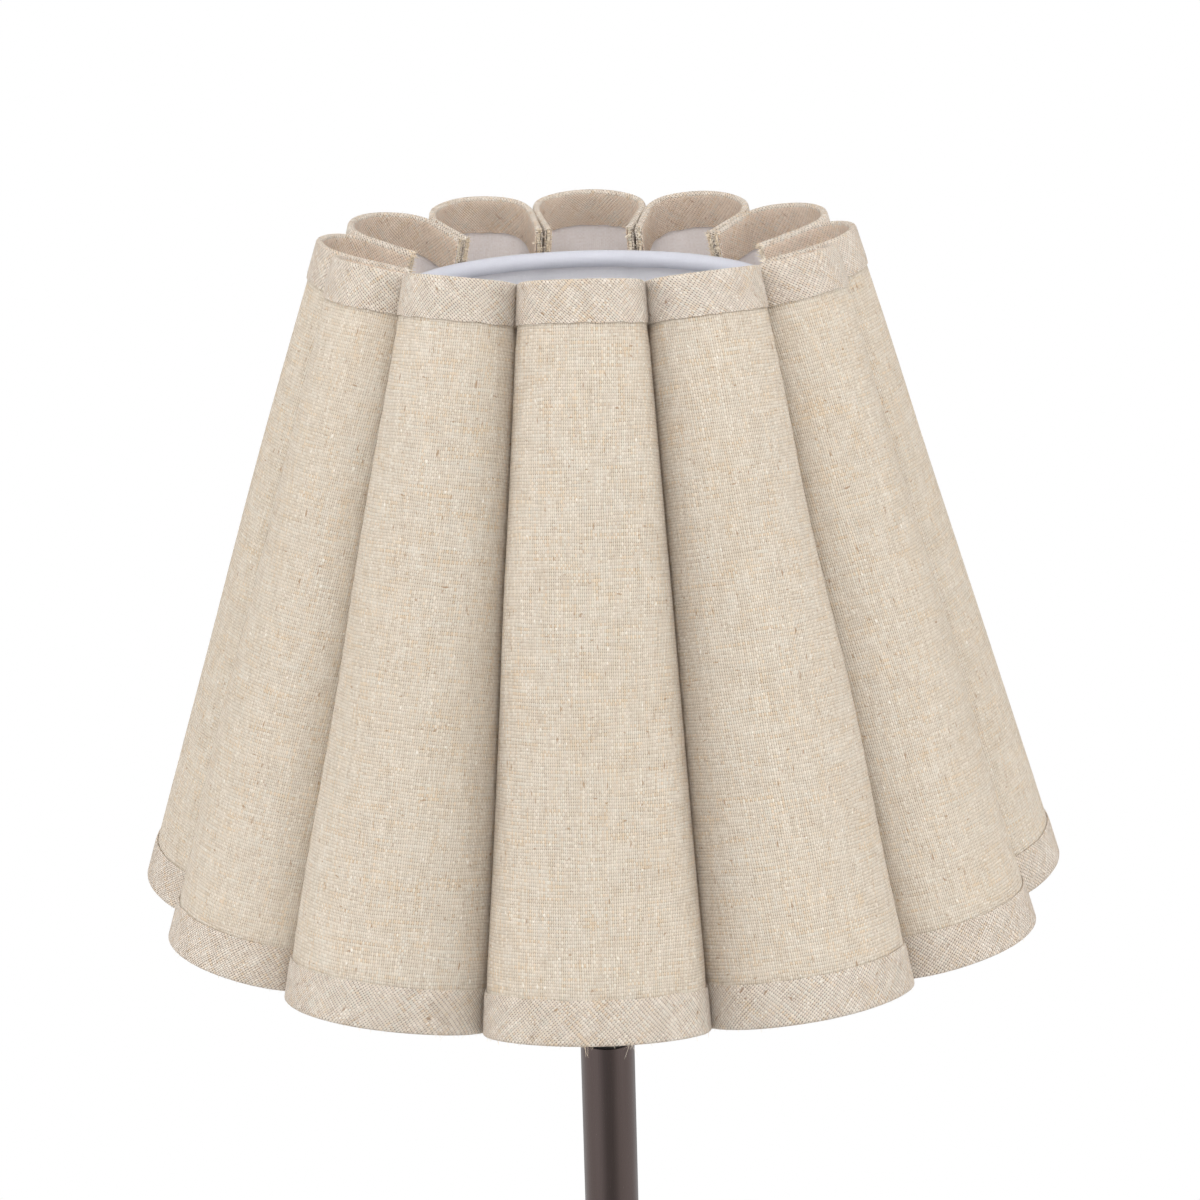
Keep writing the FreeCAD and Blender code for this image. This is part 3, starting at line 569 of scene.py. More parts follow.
@dataclass(frozen=True)
class LinenFinish:
    """Unbleached linen in plain weave, with shade painted into the holes between threads and along their
    sides.
    """

    name: str
    pale_thread: Colour
    dark_thread: Colour
    # Colour of the shade painted into the weave's holes and along the threads' sides.
    gap_shade: Colour
    fleck: Colour
    nub: Colour
    warp_pitch: float = 0.65 * MM
    weft_pitch: float = 0.95 * MM
    turn_deg: float = 0.0
    thread_height: float = 0.22 * MM
    hole_share: float = 1.1
    line_share: float = 0.9
    warp_lead: float = 0.12
    tone_from: float = 0.1
    tone_to: float = 0.85
    through_share: float = 0.3
    cool_thread: Colour = paint(224, 221, 211)
    warm_thread: Colour = paint(224, 194, 150)
    cool_start: float = 0.52
    cool_end: float = 0.66
    cool_share: float = 0.45
    warm_start: float = 0.46
    warm_end: float = 0.32
    warm_share: float = 0.4
    fleck_share: float = 0.75
    nub_share: float = 0.8
    cloud_start: float = 0.3
    cloud_end: float = 0.7
    cloud_share: float = 0.1
    nub_height_share: float = 0.5
    roughness: float = 0.86
    specular: float = 0.25

    def material(self) -> bpy.types.Material:
        """Builds the material on the piece's own UV map, which is in metres.

        Returns:
            The material.
        """
        material, w, shader = new_material(self.name)
        turned = w.scaled(w.add("UVMap").outputs[0], (1, 1, 1), self.turn_deg)
        vector = w.scaled(turned, (1 / self.warp_pitch, 1 / self.weft_pitch, 1))
        weave = place_group(w, Effect.WEAVE, vector).outputs
        flecks = place_group(w, Effect.FLECKS, vector).outputs
        tone = w.ramp(weave["Tone"], self.tone_from, self.tone_to)
        tone = w.sum("MULTIPLY_ADD", weave["Warp"], self.warp_lead, tone)
        colour = w.blend(tone, self.dark_thread, self.pale_thread)
        cool = w.ramp(weave["Yarn"], self.cool_start, self.cool_end, 0.0, self.cool_share)
        warm = w.ramp(weave["Yarn"], self.warm_start, self.warm_end, 0.0, self.warm_share)
        colour = w.blend(cool, colour, self.cool_thread)
        colour = w.blend(warm, colour, self.warm_thread)
        # Painted shade: the sides of the threads and the holes between them are darkened towards the gap
        # shade colour.
        gap_shade = w.product(weave["Line"], self.line_share)
        gap_shade = w.sum("MULTIPLY_ADD", weave["Hole"], self.hole_share, gap_shade)
        colour = w.blend(gap_shade, colour, self.gap_shade)
        colour = w.blend(w.product(flecks["Dark"], self.fleck_share), colour, self.fleck)
        colour = w.blend(w.product(flecks["Pale"], self.nub_share), colour, self.nub)
        cloud = w.ramp(flecks["Cloud"], self.cloud_start, self.cloud_end, 0.0, self.cloud_share)
        colour = w.blend(cloud, colour, self.dark_thread)
        w.feed(shader.inputs["Base Color"], colour)
        shader.inputs["Roughness"].default_value = self.roughness
        shader.inputs["Specular IOR Level"].default_value = self.specular
        height = w.sum("MULTIPLY_ADD", flecks["Pale"], self.nub_height_share, weave["Height"])
        add_bump(w, shader, height, self.thread_height)
        let_light_through(w, shader, colour, self.through_share)
        return material


@dataclass(frozen=True)
class BackingFinish:
    """Stiff white backing of the cloth, through which its threads show faintly."""

    name: str
    colour: Colour
    thread: Colour
    thread_pitch: float = 0.7 * MM
    thread_height: float = 0.06 * MM
    through_share: float = 0.3
    tone_start: float = 0.35
    tone_end: float = 0.7
    thread_share: float = 0.55
    fleck_share: float = 0.3
    cloud_start: float = 0.3
    cloud_end: float = 0.7
    smooth_roughness: float = 0.5
    rough_roughness: float = 0.62
    gloss_share: float = 0.0
    gloss_roughness: float = 0.22

    def material(self) -> bpy.types.Material:
        """Builds the material on the piece's own UV map.

        Returns:
            The material.
        """
        material, w, shader = new_material(self.name)
        threads = 1 / self.thread_pitch
        vector = w.scaled(w.add("UVMap").outputs[0], (threads, threads, 1))
        weave = place_group(w, Effect.WEAVE, vector).outputs
        flecks = place_group(w, Effect.FLECKS, vector).outputs
        share = w.ramp(weave["Tone"], self.tone_start, self.tone_end, 0.0, self.thread_share)
        share = w.sum("MULTIPLY_ADD", flecks["Dark"], self.fleck_share, share)
        colour = w.blend(share, self.colour, self.thread)
        w.feed(shader.inputs["Base Color"], colour)
        let_light_through(w, shader, colour, self.through_share)
        w.feed(shader.inputs["Roughness"],
               w.ramp(flecks["Cloud"], self.cloud_start, self.cloud_end, self.smooth_roughness,
                      self.rough_roughness))
        shader.inputs["Coat Weight"].default_value = self.gloss_share
        shader.inputs["Coat Roughness"].default_value = self.gloss_roughness
        add_bump(w, shader, weave["Height"], self.thread_height)
        return material


@dataclass(frozen=True)
class HardFinish:
    """A hard surface with a grain along chosen directions."""

    name: str
    colour: Colour
    cloud_colour: Colour
    roughness: float
    roughness_spread: float = 0.08
    metallic: float = 0.0
    coat: float = 0.0
    grain_size: Triple = (0.4 * MM, 0.4 * MM, 0.4 * MM)
    grain_height: float = 0.01 * MM
    sheen: float = 0.0
    cloud_start: float = 0.35
    cloud_end: float = 0.65
    grain_start: float = 0.3
    grain_end: float = 0.7

    def material(self) -> bpy.types.Material:
        """Builds the material on Object coordinates.

        Returns:
            The material.
        """
        material, w, shader = new_material(self.name)
        scale = tuple(1 / size for size in self.grain_size)
        vector = w.scaled(w.add("TexCoord").outputs["Object"], scale)
        grain = place_group(w, Effect.GRAIN, vector).outputs
        cloud = w.ramp(grain["Cloud"], self.cloud_start, self.cloud_end)
        w.feed(shader.inputs["Base Color"], w.blend(cloud, self.colour, self.cloud_colour))
        w.feed(shader.inputs["Roughness"],
               w.ramp(grain["Grain"], self.grain_start, self.grain_end,
                      self.roughness - self.roughness_spread, self.roughness + self.roughness_spread))
        shader.inputs["Metallic"].default_value = self.metallic
        shader.inputs["Coat Weight"].default_value = self.coat
        shader.inputs["Sheen Weight"].default_value = self.sheen
        add_bump(w, shader, grain["Grain"], self.grain_height)
        return material


@dataclass(frozen=True)
class GlassFinish:
    """Clear glass."""

    name: str
    colour: Colour
    roughness: float = 0.02
    refraction: float = 1.46
    cloud_size: float = 2.5 * MM
    cloud_start: float = 0.3
    cloud_end: float = 0.7

    def material(self) -> bpy.types.Material:
        """Builds the material, with faint clouding in its roughness.

        Returns:
            The material.
        """
        material, w, shader = new_material(self.name)
        shader.inputs["Base Color"].default_value = (*self.colour, 1)
        shader.inputs["Transmission Weight"].default_value = 1.0
        shader.inputs["IOR"].default_value = self.refraction
        vector = w.scaled(w.add("TexCoord").outputs["Object"], (1 / self.cloud_size,) * 3)
        grain = place_group(w, Effect.GRAIN, vector).outputs
        w.feed(shader.inputs["Roughness"],
               w.ramp(grain["Cloud"], self.cloud_start, self.cloud_end, 0.0, self.roughness))
        return material


FABRIC_FINISHES = (
    # Each linen's third colour is the shade painted into its weave's holes and along its threads' sides.
    LinenFinish("petal_linen", paint(234, 226, 213), paint(203, 187, 165), paint(134, 110, 88),
                paint(168, 134, 100), paint(248, 244, 236)),
    LinenFinish("tape_linen", paint(247, 239, 228), paint(212, 193, 173), paint(84, 58, 46),
                paint(160, 124, 90), paint(250, 245, 235), turn_deg=48.0, thread_height=0.3 * MM,
                hole_share=2.3, line_share=0.8),
    # Painted light: the tape's inner face is the same linen tape, given a lighter, warmer copy with
    # fainter painted shade in its holes, standing in for light that reaches the inside of the shade
    # through the cloth.
    LinenFinish("inner_tape_painted_light", paint(253, 238, 222), paint(234, 212, 190), paint(140, 108, 86),
                paint(180, 144, 114), paint(252, 246, 240), turn_deg=48.0, thread_height=0.28 * MM,
                hole_share=1.2, line_share=0.4),
    LinenFinish("raw_linen", paint(246, 237, 220), paint(220, 204, 176), paint(190, 164, 130),
                paint(170, 140, 104), paint(252, 248, 240), thread_height=0.4 * MM),
    BackingFinish("petal_backing", paint(253, 249, 250), paint(238, 230, 228)),
    BackingFinish("lining_laminate", paint(252, 252, 255), paint(244, 245, 250),
                  thread_pitch=0.45 * MM),
    # Painted shade: the margin rolled over the upper wire is the same laminate as the wall, given a
    # darker, bluer copy so that it reads less bright against the wall inside.
    BackingFinish("lining_roll_painted_shade", paint(220, 221, 229), paint(212, 213, 222),
                  thread_pitch=0.45 * MM, gloss_share=0.25),
)

HARD_FINISHES = {
    Slot.BRONZE: HardFinish("bronze", paint(96, 85, 83), paint(90, 79, 76), 0.3, metallic=1.0,
                            grain_size=(0.5 * MM, 0.5 * MM, 14 * MM), grain_height=0.004 * MM),
    Slot.BLACK_METAL: HardFinish("black_metal", paint(40, 37, 36), paint(48, 44, 42), 0.42,
                                 metallic=0.6, grain_size=(1 * MM, 1 * MM, 1 * MM)),
    Slot.CAST_IRON: HardFinish("cast_iron", paint(70, 70, 72), paint(58, 58, 60), 0.6, 0.15, 0.7,
                               grain_size=(0.9 * MM, 0.9 * MM, 0.9 * MM), grain_height=0.12 * MM),
    Slot.ZINC_STEEL: HardFinish("zinc_steel", paint(196, 196, 190), paint(178, 180, 182), 0.3,
                                metallic=1.0, grain_size=(0.8 * MM, 0.8 * MM, 0.8 * MM)),
    Slot.RUBBER: HardFinish("grommet_rubber", paint(34, 33, 33), paint(42, 41, 41), 0.7),
    Slot.BLACK_PLASTIC: HardFinish("black_plastic", paint(30, 29, 29), paint(36, 35, 35), 0.38),
    Slot.CERAMIC: HardFinish("ceramic", paint(238, 234, 224), paint(230, 225, 214), 0.28,
                             coat=0.4, grain_height=0.02 * MM),
    Slot.BRASS: HardFinish("brass", paint(214, 178, 104), paint(196, 158, 88), 0.25, metallic=1.0),
    Slot.CAP_METAL: HardFinish("cap_metal", paint(206, 200, 184), paint(190, 182, 164), 0.28,
                               metallic=1.0),
    Slot.BLACK_GLASS: HardFinish("black_glass", paint(22, 20, 26), paint(28, 26, 32), 0.12),
    Slot.FILAMENT: HardFinish("filament", paint(232, 178, 70), paint(222, 160, 56), 0.45),
    Slot.WHITE_WIRE: HardFinish("white_wire", paint(236, 236, 234), paint(228, 228, 226), 0.4,
                                grain_height=0.02 * MM),
    Slot.FELT: HardFinish("felt", paint(52, 50, 50), paint(64, 61, 60), 0.95, 0.04,
                          grain_size=(0.3 * MM, 0.3 * MM, 0.3 * MM), grain_height=0.3 * MM,
                          sheen=0.35),
}


LOOSE_THREAD = HardFinish("loose_thread", paint(247, 240, 227), paint(232, 214, 186), 0.8, 0.1,
                          grain_size=(1.5 * MM, 1.5 * MM, 1.5 * MM))


class Finishes:
    """Every finish of the lamp, made once, by name."""

    def __init__(self) -> None:
        """Makes the fabrics and the hard finishes."""
        self.made = {finish.name: finish.material() for finish in (*FABRIC_FINISHES, LOOSE_THREAD)}
        self.by_slot = {slot.value: finish.material() for slot, finish in HARD_FINISHES.items()}
        self.by_slot[Slot.CLEAR_GLASS.value] = GlassFinish("glass", (1.0, 1.0, 1.0)).material()

    def coat(self, piece: bpy.types.Object, *names: str) -> None:
        """Gives a new piece its fabrics.

        Args:
            piece: The piece.
            *names: The fabrics, in the order of the piece's material slots.
        """
        for name in names:
            piece.data.materials.append(self.made[name])

    def dress(self, nodes: dict[str, bpy.types.Object], record: dict) -> None:
        """Gives every solid that stays in view the finish of its slot.

        Args:
            nodes: The solids by name.
            record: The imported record.
        """
        for part in record["subparts"]:
            material = self.by_slot.get(part["material_slot"])
            if material is None:
                continue
            for slot in nodes[part["node"]].material_slots:
                slot.material = material


def sheet_mesh(name: str, points: np.ndarray, uv: np.ndarray, closed: bool = False) -> bpy.types.Object:
    """Makes a piece from a grid of points.

    Args:
        name: The piece's name.
        points: The points, by column, row and axis.
        uv: The UV place of each point, in metres.
        closed: True where the last column joins the first.

    Returns:
        The new object, with a UV map. Faces point to the left of the way the columns run.
    """
    columns, rows = points.shape[:2]
    corners = []
    for column in range(columns if closed else columns - 1):
        beside = (column + 1) % columns
        for row in range(rows - 1):
            corners.append((column * rows + row, column * rows + row + 1,
                            beside * rows + row + 1, beside * rows + row))
    mesh = bpy.data.meshes.new(name)
    mesh.from_pydata(points.reshape(-1, 3).tolist(), [], corners)
    layer = mesh.uv_layers.new(name="UVMap")
    flat = uv.reshape(-1, 2)
    used = np.zeros(len(mesh.loops), np.int32)
    mesh.loops.foreach_get("vertex_index", used)
    layer.data.foreach_set("uv", flat[used].astype(np.float32).ravel())
    piece = bpy.data.objects.new(name, mesh)
    bpy.context.scene.collection.objects.link(piece)
    return piece


def eased(share: np.ndarray) -> np.ndarray:
    """Smooths a share that is cut off at 0 and 1, so that it starts and ends gently."""
    share = np.clip(share, 0, 1)
    return share * share * (3 - 2 * share)


def mark_rows(piece: bpy.types.Object, marked: range, rows: int, slot: int = 1) -> None:
    """Gives some rows of a sheet another of its material slots.

    Args:
        piece: The sheet, as sheet_mesh made it.
        marked: The rows of faces to mark.
        rows: The number of rows of faces.
        slot: The material slot.
    """
    for face in piece.data.polygons:
        if face.index % rows in marked:
            face.material_index = slot


def apply_modifier(piece: bpy.types.Object, kind: str, **settings: object) -> None:
    """Adds a modifier to a piece and applies it.

    Args:
        piece: The piece.
        kind: The modifier's type.
        **settings: The modifier's properties.
    """
    modifier = piece.modifiers.new(kind.title(), kind)
    for name, value in settings.items():
        setattr(modifier, name, value)
    select_only(piece)
    bpy.ops.object.modifier_apply(modifier=modifier.name)


def select_only(piece: bpy.types.Object) -> None:
    """Selects one piece, makes it active and leaves the rest alone.

    Args:
        piece: The piece.
    """
    bpy.ops.object.select_all(action="DESELECT")
    piece.select_set(True)
    bpy.context.view_layer.objects.active = piece


def smooth(piece: bpy.types.Object, degrees: float) -> None:
    """Shades a piece smooth up to an angle between faces."""
    select_only(piece)
    bpy.ops.object.shade_smooth_by_angle(angle=math.radians(degrees))


def seat(piece: bpy.types.Object, body: Body, slot: Slot, *nodes: str) -> None:
    """Fastens a piece to a body, hides the solids that it replaces and logs it.

    Args:
        piece: The piece.
        body: The body that it rides on.
        slot: Not used.
        *nodes: The solids that it replaces.
    """
    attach(piece, body.value)
    if nodes:
        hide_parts(*nodes)
    LOG.info("%s rides on %s, %d faces", piece.name, body.value, len(piece.data.polygons))


@dataclass
class LooseThreads:
    """Short bent threads that stand out of cut and folded edges, gathered for one mesh."""

    draw: random.Random
    ring_shares: tuple[float, ...] = (0.0, 0.35, 0.7, 1.0)
    radius_shares: tuple[float, ...] = (1.0, 0.9, 0.7, 0.35)
    sides: int = 4
    upright_limit: float = 0.9
    points: list[np.ndarray] = field(default_factory=list)

    def add(self, root: np.ndarray, ahead: np.ndarray, length: float, radius: float,
            bend_share: float) -> None:
        """Adds one thread.

        Args:
            root: Where it starts, inside the edge.
            ahead: The way it starts, of any length.
            length: Its length.
            radius: Its radius at the root.
            bend_share: How far its tip strays, as a share of its length.
        """
        ahead = ahead / np.linalg.norm(ahead)
        bend = np.array([self.draw.gauss(0, 1) for _ in range(3)]) * bend_share
        helper = np.array([0, 0, 1]) if abs(ahead[2]) < self.upright_limit else np.array([1, 0, 0])
        side = np.cross(ahead, helper)
        side /= np.linalg.norm(side)
        other = np.cross(ahead, side)
        turns = [math.tau * number / self.sides for number in range(self.sides)]
        rings = [[root + (ahead * along + bend * along * along) * length
                  + (side * math.cos(turn) + other * math.sin(turn)) * radius * width
                  for turn in turns]
                 for along, width in zip(self.ring_shares, self.radius_shares)]
        self.points.append(np.array(rings))

    def build(self, name: str, turn: np.ndarray) -> bpy.types.Object:
        """Makes one piece of all the threads.

        Args:
            name: The piece's name.
            turn: The matrix that turns them to their petal's place.

        Returns:
            The new piece, each thread closed at both ends.
        """
        rings, sides = len(self.ring_shares), self.sides
        faces = []
        for index in range(len(self.points)):
            start = index * rings * sides
            end = start + (rings - 1) * sides
            for low in range(start, end, sides):
                for side in range(sides):
                    beside = (side + 1) % sides
                    faces.append((low + beside, low + sides + beside, low + sides + side, low + side))
            faces.append(tuple(start + side for side in reversed(range(sides))))
            faces.append(tuple(end + side for side in range(sides)))
        mesh = bpy.data.meshes.new(name)
        mesh.from_pydata((np.concatenate(self.points).reshape(-1, 3) @ turn.T).tolist(), [], faces)
        piece = bpy.data.objects.new(name, mesh)
        bpy.context.scene.collection.objects.link(piece)
        return piece


@dataclass(frozen=True)
class ShadePlan:
    """Shape that the petals share, measured on the outer face of their tapes."""

    petals: int = 12
    base_z: float = 305.0 * MM
    notch_line_height: float = 210.9 * MM
    bottom_notch_radius: float = 127.3 * MM
    top_notch_radius: float = 71.1 * MM
    bottom_depth: float = 24.6 * MM
    top_depth: float = 14.2 * MM
    bottom_corner: float = 20.2 * MM
    top_corner: float = 12.0 * MM
    bottom_setback: float = 2.0 * MM
    top_setback: float = 1.0 * MM
    petal_gap: float = 0.3 * MM
    end_gap: float = 1.5 * MM
    edge_slope: float = math.tan(math.radians(16.9))
    cloth: float = 1.0 * MM
    tape: float = 0.35 * MM
    top_tape_width: float = 12.0 * MM
    bottom_tape_width: float = 12.5 * MM
    top_wire_radius: float = 56.5 * MM
    top_wire_below_notch: float = 14.6 * MM
    bottom_wire_radius: float = 108.3 * MM
    bottom_wire_above_notch: float = 10.0 * MM
    roll_radius: float = 2.75 * MM
    lining_sheet: float = 1.0 * MM
    loose_fit: float = 0.3 * MM
    overrun: float = 10.0 * MM

    @property
    def half_wedge(self) -> float:
        """Half of the angle that one petal takes."""
        return math.pi / self.petals

    @property
    def top_wire_z(self) -> float:
        """Height of the upper wire."""
        return self.base_z + self.notch_line_height - self.top_wire_below_notch

    @property
    def bottom_wire_z(self) -> float:
        """Height of the lower wire."""
        return self.base_z + self.bottom_wire_above_notch

    @property
    def lining_slant(self) -> float:
        """Angle of the lining's wall from upright."""
        return math.atan2(self.bottom_wire_radius - self.top_wire_radius,
                          self.top_wire_z - self.bottom_wire_z)

    def lining_radius(self, z: float) -> float:
        """Radius of the lining's outer face at a height."""
        return (self.top_wire_radius + self.roll_radius / math.cos(self.lining_slant)
                + (self.top_wire_z - z) * math.tan(self.lining_slant))


@dataclass
class PetalSurface:
    """Outer face of one petal's cloth, with the small faults of handwork.

    Columns run from the left end of the wall to its right end, seen from outside with the
    petal facing +Y, and rows run from the lower edge to the upper one.
    """

    plan: ShadePlan
    number: int
    crown_columns: int = 18
    corner_columns: int = 13
    side_columns: int = 8
    first_seed: int = 1200
    wave_count: int = 7
    wave_height: float = 0.22 * MM
    waves_across: tuple[float, float] = (25, 110)
    waves_up: tuple[float, float] = (-70, 70)
    wave_rise: float = 8 * MM
    edge_wave: float = 0.15 * MM
    edge_wave_count: int = 5
    edge_wave_rates: tuple[float, float] = (60, 900)
    edge_half_span: float = 50 * MM
    edges: int = 4
    edge_passes: int = 6
    depth_spread: float = 0.5 * MM
    lean_spread: float = 0.6 * MM
    swell_height: float = 0.33 * MM
    swell_start: float = 0.8 * MM
    swell_run: float = 5.0 * MM
    depth_change: float = field(init=False)
    lean: list[float] = field(init=False)
    waves: list[Triple] = field(init=False)
    edge_waves: list[list[tuple[float, float]]] = field(init=False)
    uv_shift: tuple[float, float] = field(init=False)
    low: np.ndarray = field(init=False)
    high: np.ndarray = field(init=False)

    def __post_init__(self) -> None:
        """Draws the petal's own faults and its two guiding sections."""
        draw = random.Random(self.first_seed + self.number)
        self.depth_change = draw.uniform(-self.depth_spread, self.depth_spread)
        self.lean = [draw.uniform(-self.lean_spread, self.lean_spread) for _ in range(2)]
        self.waves = [(draw.uniform(*self.waves_across), draw.uniform(*self.waves_up),
                       draw.uniform(0, math.tau)) for _ in range(self.wave_count)]
        self.edge_waves = [[(draw.uniform(*self.edge_wave_rates), draw.uniform(0, math.tau))
                            for _ in range(self.edge_wave_count)] for _ in range(self.edges)]
        self.uv_shift = (draw.uniform(-1, 1), draw.uniform(-1, 1))
        base = self.plan.base_z
        top = base + self.plan.notch_line_height
        self.low = self.section(base - self.plan.overrun)
        self.high = self.section(top + self.plan.overrun)

    @property
    def columns(self) -> int:
        """Number of columns over the whole wall."""
        return 2 * (self.crown_columns + self.corner_columns + self.side_columns) + 1

    def section(self, z: float) -> np.ndarray:
        """Points of the cloth's outer face at one height.

        Args:
            z: The height.

        Returns:
            One point per column.
        """
        plan = self.plan
        share = (z - plan.base_z) / plan.notch_line_height
        inset = plan.tape

        def at(low: float, high: float) -> float:
            """Size at this height, from its sizes at the foot and at the top."""
            return low + (high - low) * share

        notch = at(plan.bottom_notch_radius, plan.top_notch_radius)
        apex_y = notch + at(plan.bottom_depth, plan.top_depth) + self.depth_change
        corner = at(plan.bottom_corner, plan.top_corner)
        along = np.array([math.sin(plan.half_wedge), math.cos(plan.half_wedge)])
        inward = np.array([-math.cos(plan.half_wedge), math.sin(plan.half_wedge)])
        side_top = along * (notch - at(plan.bottom_setback, plan.top_setback))
        side_top = side_top + inward * plan.petal_gap / 2
        corner_centre = side_top + inward * corner
        rise = apex_y - corner_centre[1]
        crown = (corner_centre[0] ** 2 + rise ** 2 - corner ** 2) / (2 * (rise - corner))
        crown_centre = np.array([0, apex_y - crown])
        joint = corner_centre - crown_centre
        joint_angle = math.atan2(joint[1], joint[0])
        crown_angles = np.linspace(math.pi / 2, joint_angle, self.crown_columns + 1)[:-1]
        corner_angles = np.linspace(joint_angle, -plan.half_wedge, self.corner_columns + 1)[:-1]
        crown_ring = np.c_[np.cos(crown_angles), np.sin(crown_angles)]
        corner_ring = np.c_[np.cos(corner_angles), np.sin(corner_angles)]
        side_start = side_top + inward * inset
        side_end = along * (plan.lining_radius(z) + plan.loose_fit) + inward * (plan.end_gap / 2 + inset)
        steps = np.linspace(0, 1, self.side_columns + 1)[:, None]
        right = np.concatenate([crown_centre + crown_ring * (crown - inset),
                                corner_centre + corner_ring * (corner - inset),
                                side_start + (side_end - side_start) * steps])
        lean = self.lean[0] + (self.lean[1] - self.lean[0]) * share
        reach = np.clip((right[:, 1] - side_start[1]) / (apex_y - side_start[1]), 0, 1)
        left = right[:0:-1] * np.array([-1, 1])
        left[:, 0] += lean * reach[:0:-1]
        right[:, 0] += lean * reach
        both = np.concatenate([left, right])
        return np.c_[both, np.full(len(both), z)]

    def edge_share(self, at_top: bool) -> np.ndarray:
        """How far up its ruling each column meets one edge of the cloth.

        Args:
            at_top: True for the upper edge.

        Returns:
            A share from the low section to the high one, for each column.
        """
        plan = self.plan
        notch_radius = plan.top_notch_radius if at_top else plan.bottom_notch_radius
        notch_z = plan.base_z + (plan.notch_line_height if at_top else 0)
        inset = plan.tape * math.sqrt(1 + plan.edge_slope ** 2)
        notch_z += -inset if at_top else inset
        height = self.high[:, 2] - self.low[:, 2]
        share = np.full(len(self.low), float(at_top))
        for _ in range(self.edge_passes):
            here = self.low + (self.high - self.low) * share[:, None]
            radius = np.hypot(here[:, 0], here[:, 1])
            share = (notch_z + (radius - notch_radius) * plan.edge_slope - self.low[:, 2]) / height
        return share

    def edge_change(self, which: int) -> np.ndarray:
        """Small waves along one edge of a tape.

        Args:
            which: The number of the edge.

        Returns:
            How far the edge strays at each column.
        """
        place = np.linspace(-self.edge_half_span, self.edge_half_span, self.columns)
        total = sum(np.sin(place * rate + start) for rate, start in self.edge_waves[which])
        return total * self.edge_wave / 2

    def face(self, from_bottom: np.ndarray, from_top: np.ndarray, lift: np.ndarray) -> np.ndarray:
        """Points of the wall at given rows.

        Args:
            from_bottom: Distance above the lower edge, by row or by column and row; used
                where from_top is not a number.
            from_top: Distance below the upper edge, or not a number.
            lift: Distance out from the cloth's outer face, by row.

        Returns:
            Points by column, row and axis.
        """
        low_share, high_share = self.edge_share(False), self.edge_share(True)
        run = self.high - self.low
        length = np.linalg.norm(run, axis=1)
        bottom = np.broadcast_to(from_bottom, (self.columns, np.shape(from_bottom)[-1]))
        top = np.broadcast_to(from_top, (self.columns, np.shape(from_top)[-1]))
        share = np.where(np.isnan(top), low_share[:, None] + bottom / length[:, None],
                         high_share[:, None] - top / length[:, None])
        points = self.low[:, None, :] + run[:, None, :] * share[:, :, None]
        tangent = np.gradient(points, axis=0)
        normal = np.cross(run[:, None, :], tangent)
        normal /= np.linalg.norm(normal, axis=2)[:, :, None]
        across = self.arc_lengths(points)
        wave = sum(np.sin(across * rate_u + points[:, :, 2] * rate_v + start)
                   for rate_u, rate_v, start in self.waves)
        radius = np.hypot(points[:, :, 0], points[:, :, 1])
        free = eased((radius - self.side_radius(points)) / self.wave_rise)
        wave = wave * self.wave_height / math.sqrt(self.wave_count) * 2 * free
        return points + normal * (wave + lift + self.swelling(share, length) * (1 - free))[:, :, None]

    def edge_face(self, at_top: bool, distance: np.ndarray, lift: np.ndarray) -> np.ndarray:
        """Points of the wall at given distances from one of its edges.

        Args:
            at_top: True for the upper edge.
            distance: Distance from the edge, by row or by column and row.
            lift: Distance out from the cloth's outer face, by row.

        Returns:
            Points by column, row and axis.
        """
        if at_top:
            return self.face(np.zeros(distance.shape), distance, lift)
        return self.face(distance, np.full(distance.shape, np.nan), lift)

    def swelling(self, share: np.ndarray, length: np.ndarray) -> np.ndarray:
        """How far the petal's sides swell towards their neighbours between the tapes.

        Args:
            share: How far up its ruling each point is.
            length: Each ruling's length.

        Returns:
            The swelling at each point.
        """
        plan = self.plan
        low = (share - self.edge_share(False)[:, None]) * length[:, None] - plan.bottom_tape_width
        high = (self.edge_share(True)[:, None] - share) * length[:, None] - plan.top_tape_width
        return self.swell_height * eased((np.minimum(low, high) - self.swell_start) / self.swell_run)

    def side_radius(self, points: np.ndarray) -> np.ndarray:
        """Distance from the axis at which the petal's side ends and its corner starts."""
        share = (points[:, :, 2] - self.plan.base_z) / self.plan.notch_line_height
        return (self.plan.bottom_notch_radius
                + (self.plan.top_notch_radius - self.plan.bottom_notch_radius) * share)

    def arc_lengths(self, points: np.ndarray) -> np.ndarray:
        """Distance of each point from the petal's middle, along the wall at its row.

        Args:
            points: Points by column, row and axis.

        Returns:
            The distance by column and row.
        """
        steps = np.linalg.norm(np.diff(points, axis=0), axis=2)
        total = np.concatenate([np.zeros((1, points.shape[1])), np.cumsum(steps, axis=0)])
        return total - total[self.columns // 2]

    def rows_on_cloth(self, count: int) -> np.ndarray:
        """Distances of evenly spaced rows from the lower edge.

        Args:
            count: The number of rows.

        Returns:
            The distance by column and row.
        """
        length = np.linalg.norm(self.high - self.low, axis=1)
        whole = (self.edge_share(True) - self.edge_share(False)) * length
        return whole[:, None] * np.linspace(0, 1, count)[None, :]

    @property
    def turn(self) -> np.ndarray:
        """Matrix from the petal that faces +Y to this petal's own place."""
        angle = math.pi + 2 * self.plan.half_wedge * (self.number - 1)
        return np.array(Matrix.Rotation(angle, 3, "Z"))

    def turned(self, points: np.ndarray) -> np.ndarray:
        """Turns points from the petal that faces +Y to this petal's own place."""
        return points @ self.turn.T

    def shifted(self, uv: np.ndarray) -> np.ndarray:
        """Moves UV places so that each petal shows another stretch of cloth."""
        return uv + np.array(self.uv_shift)


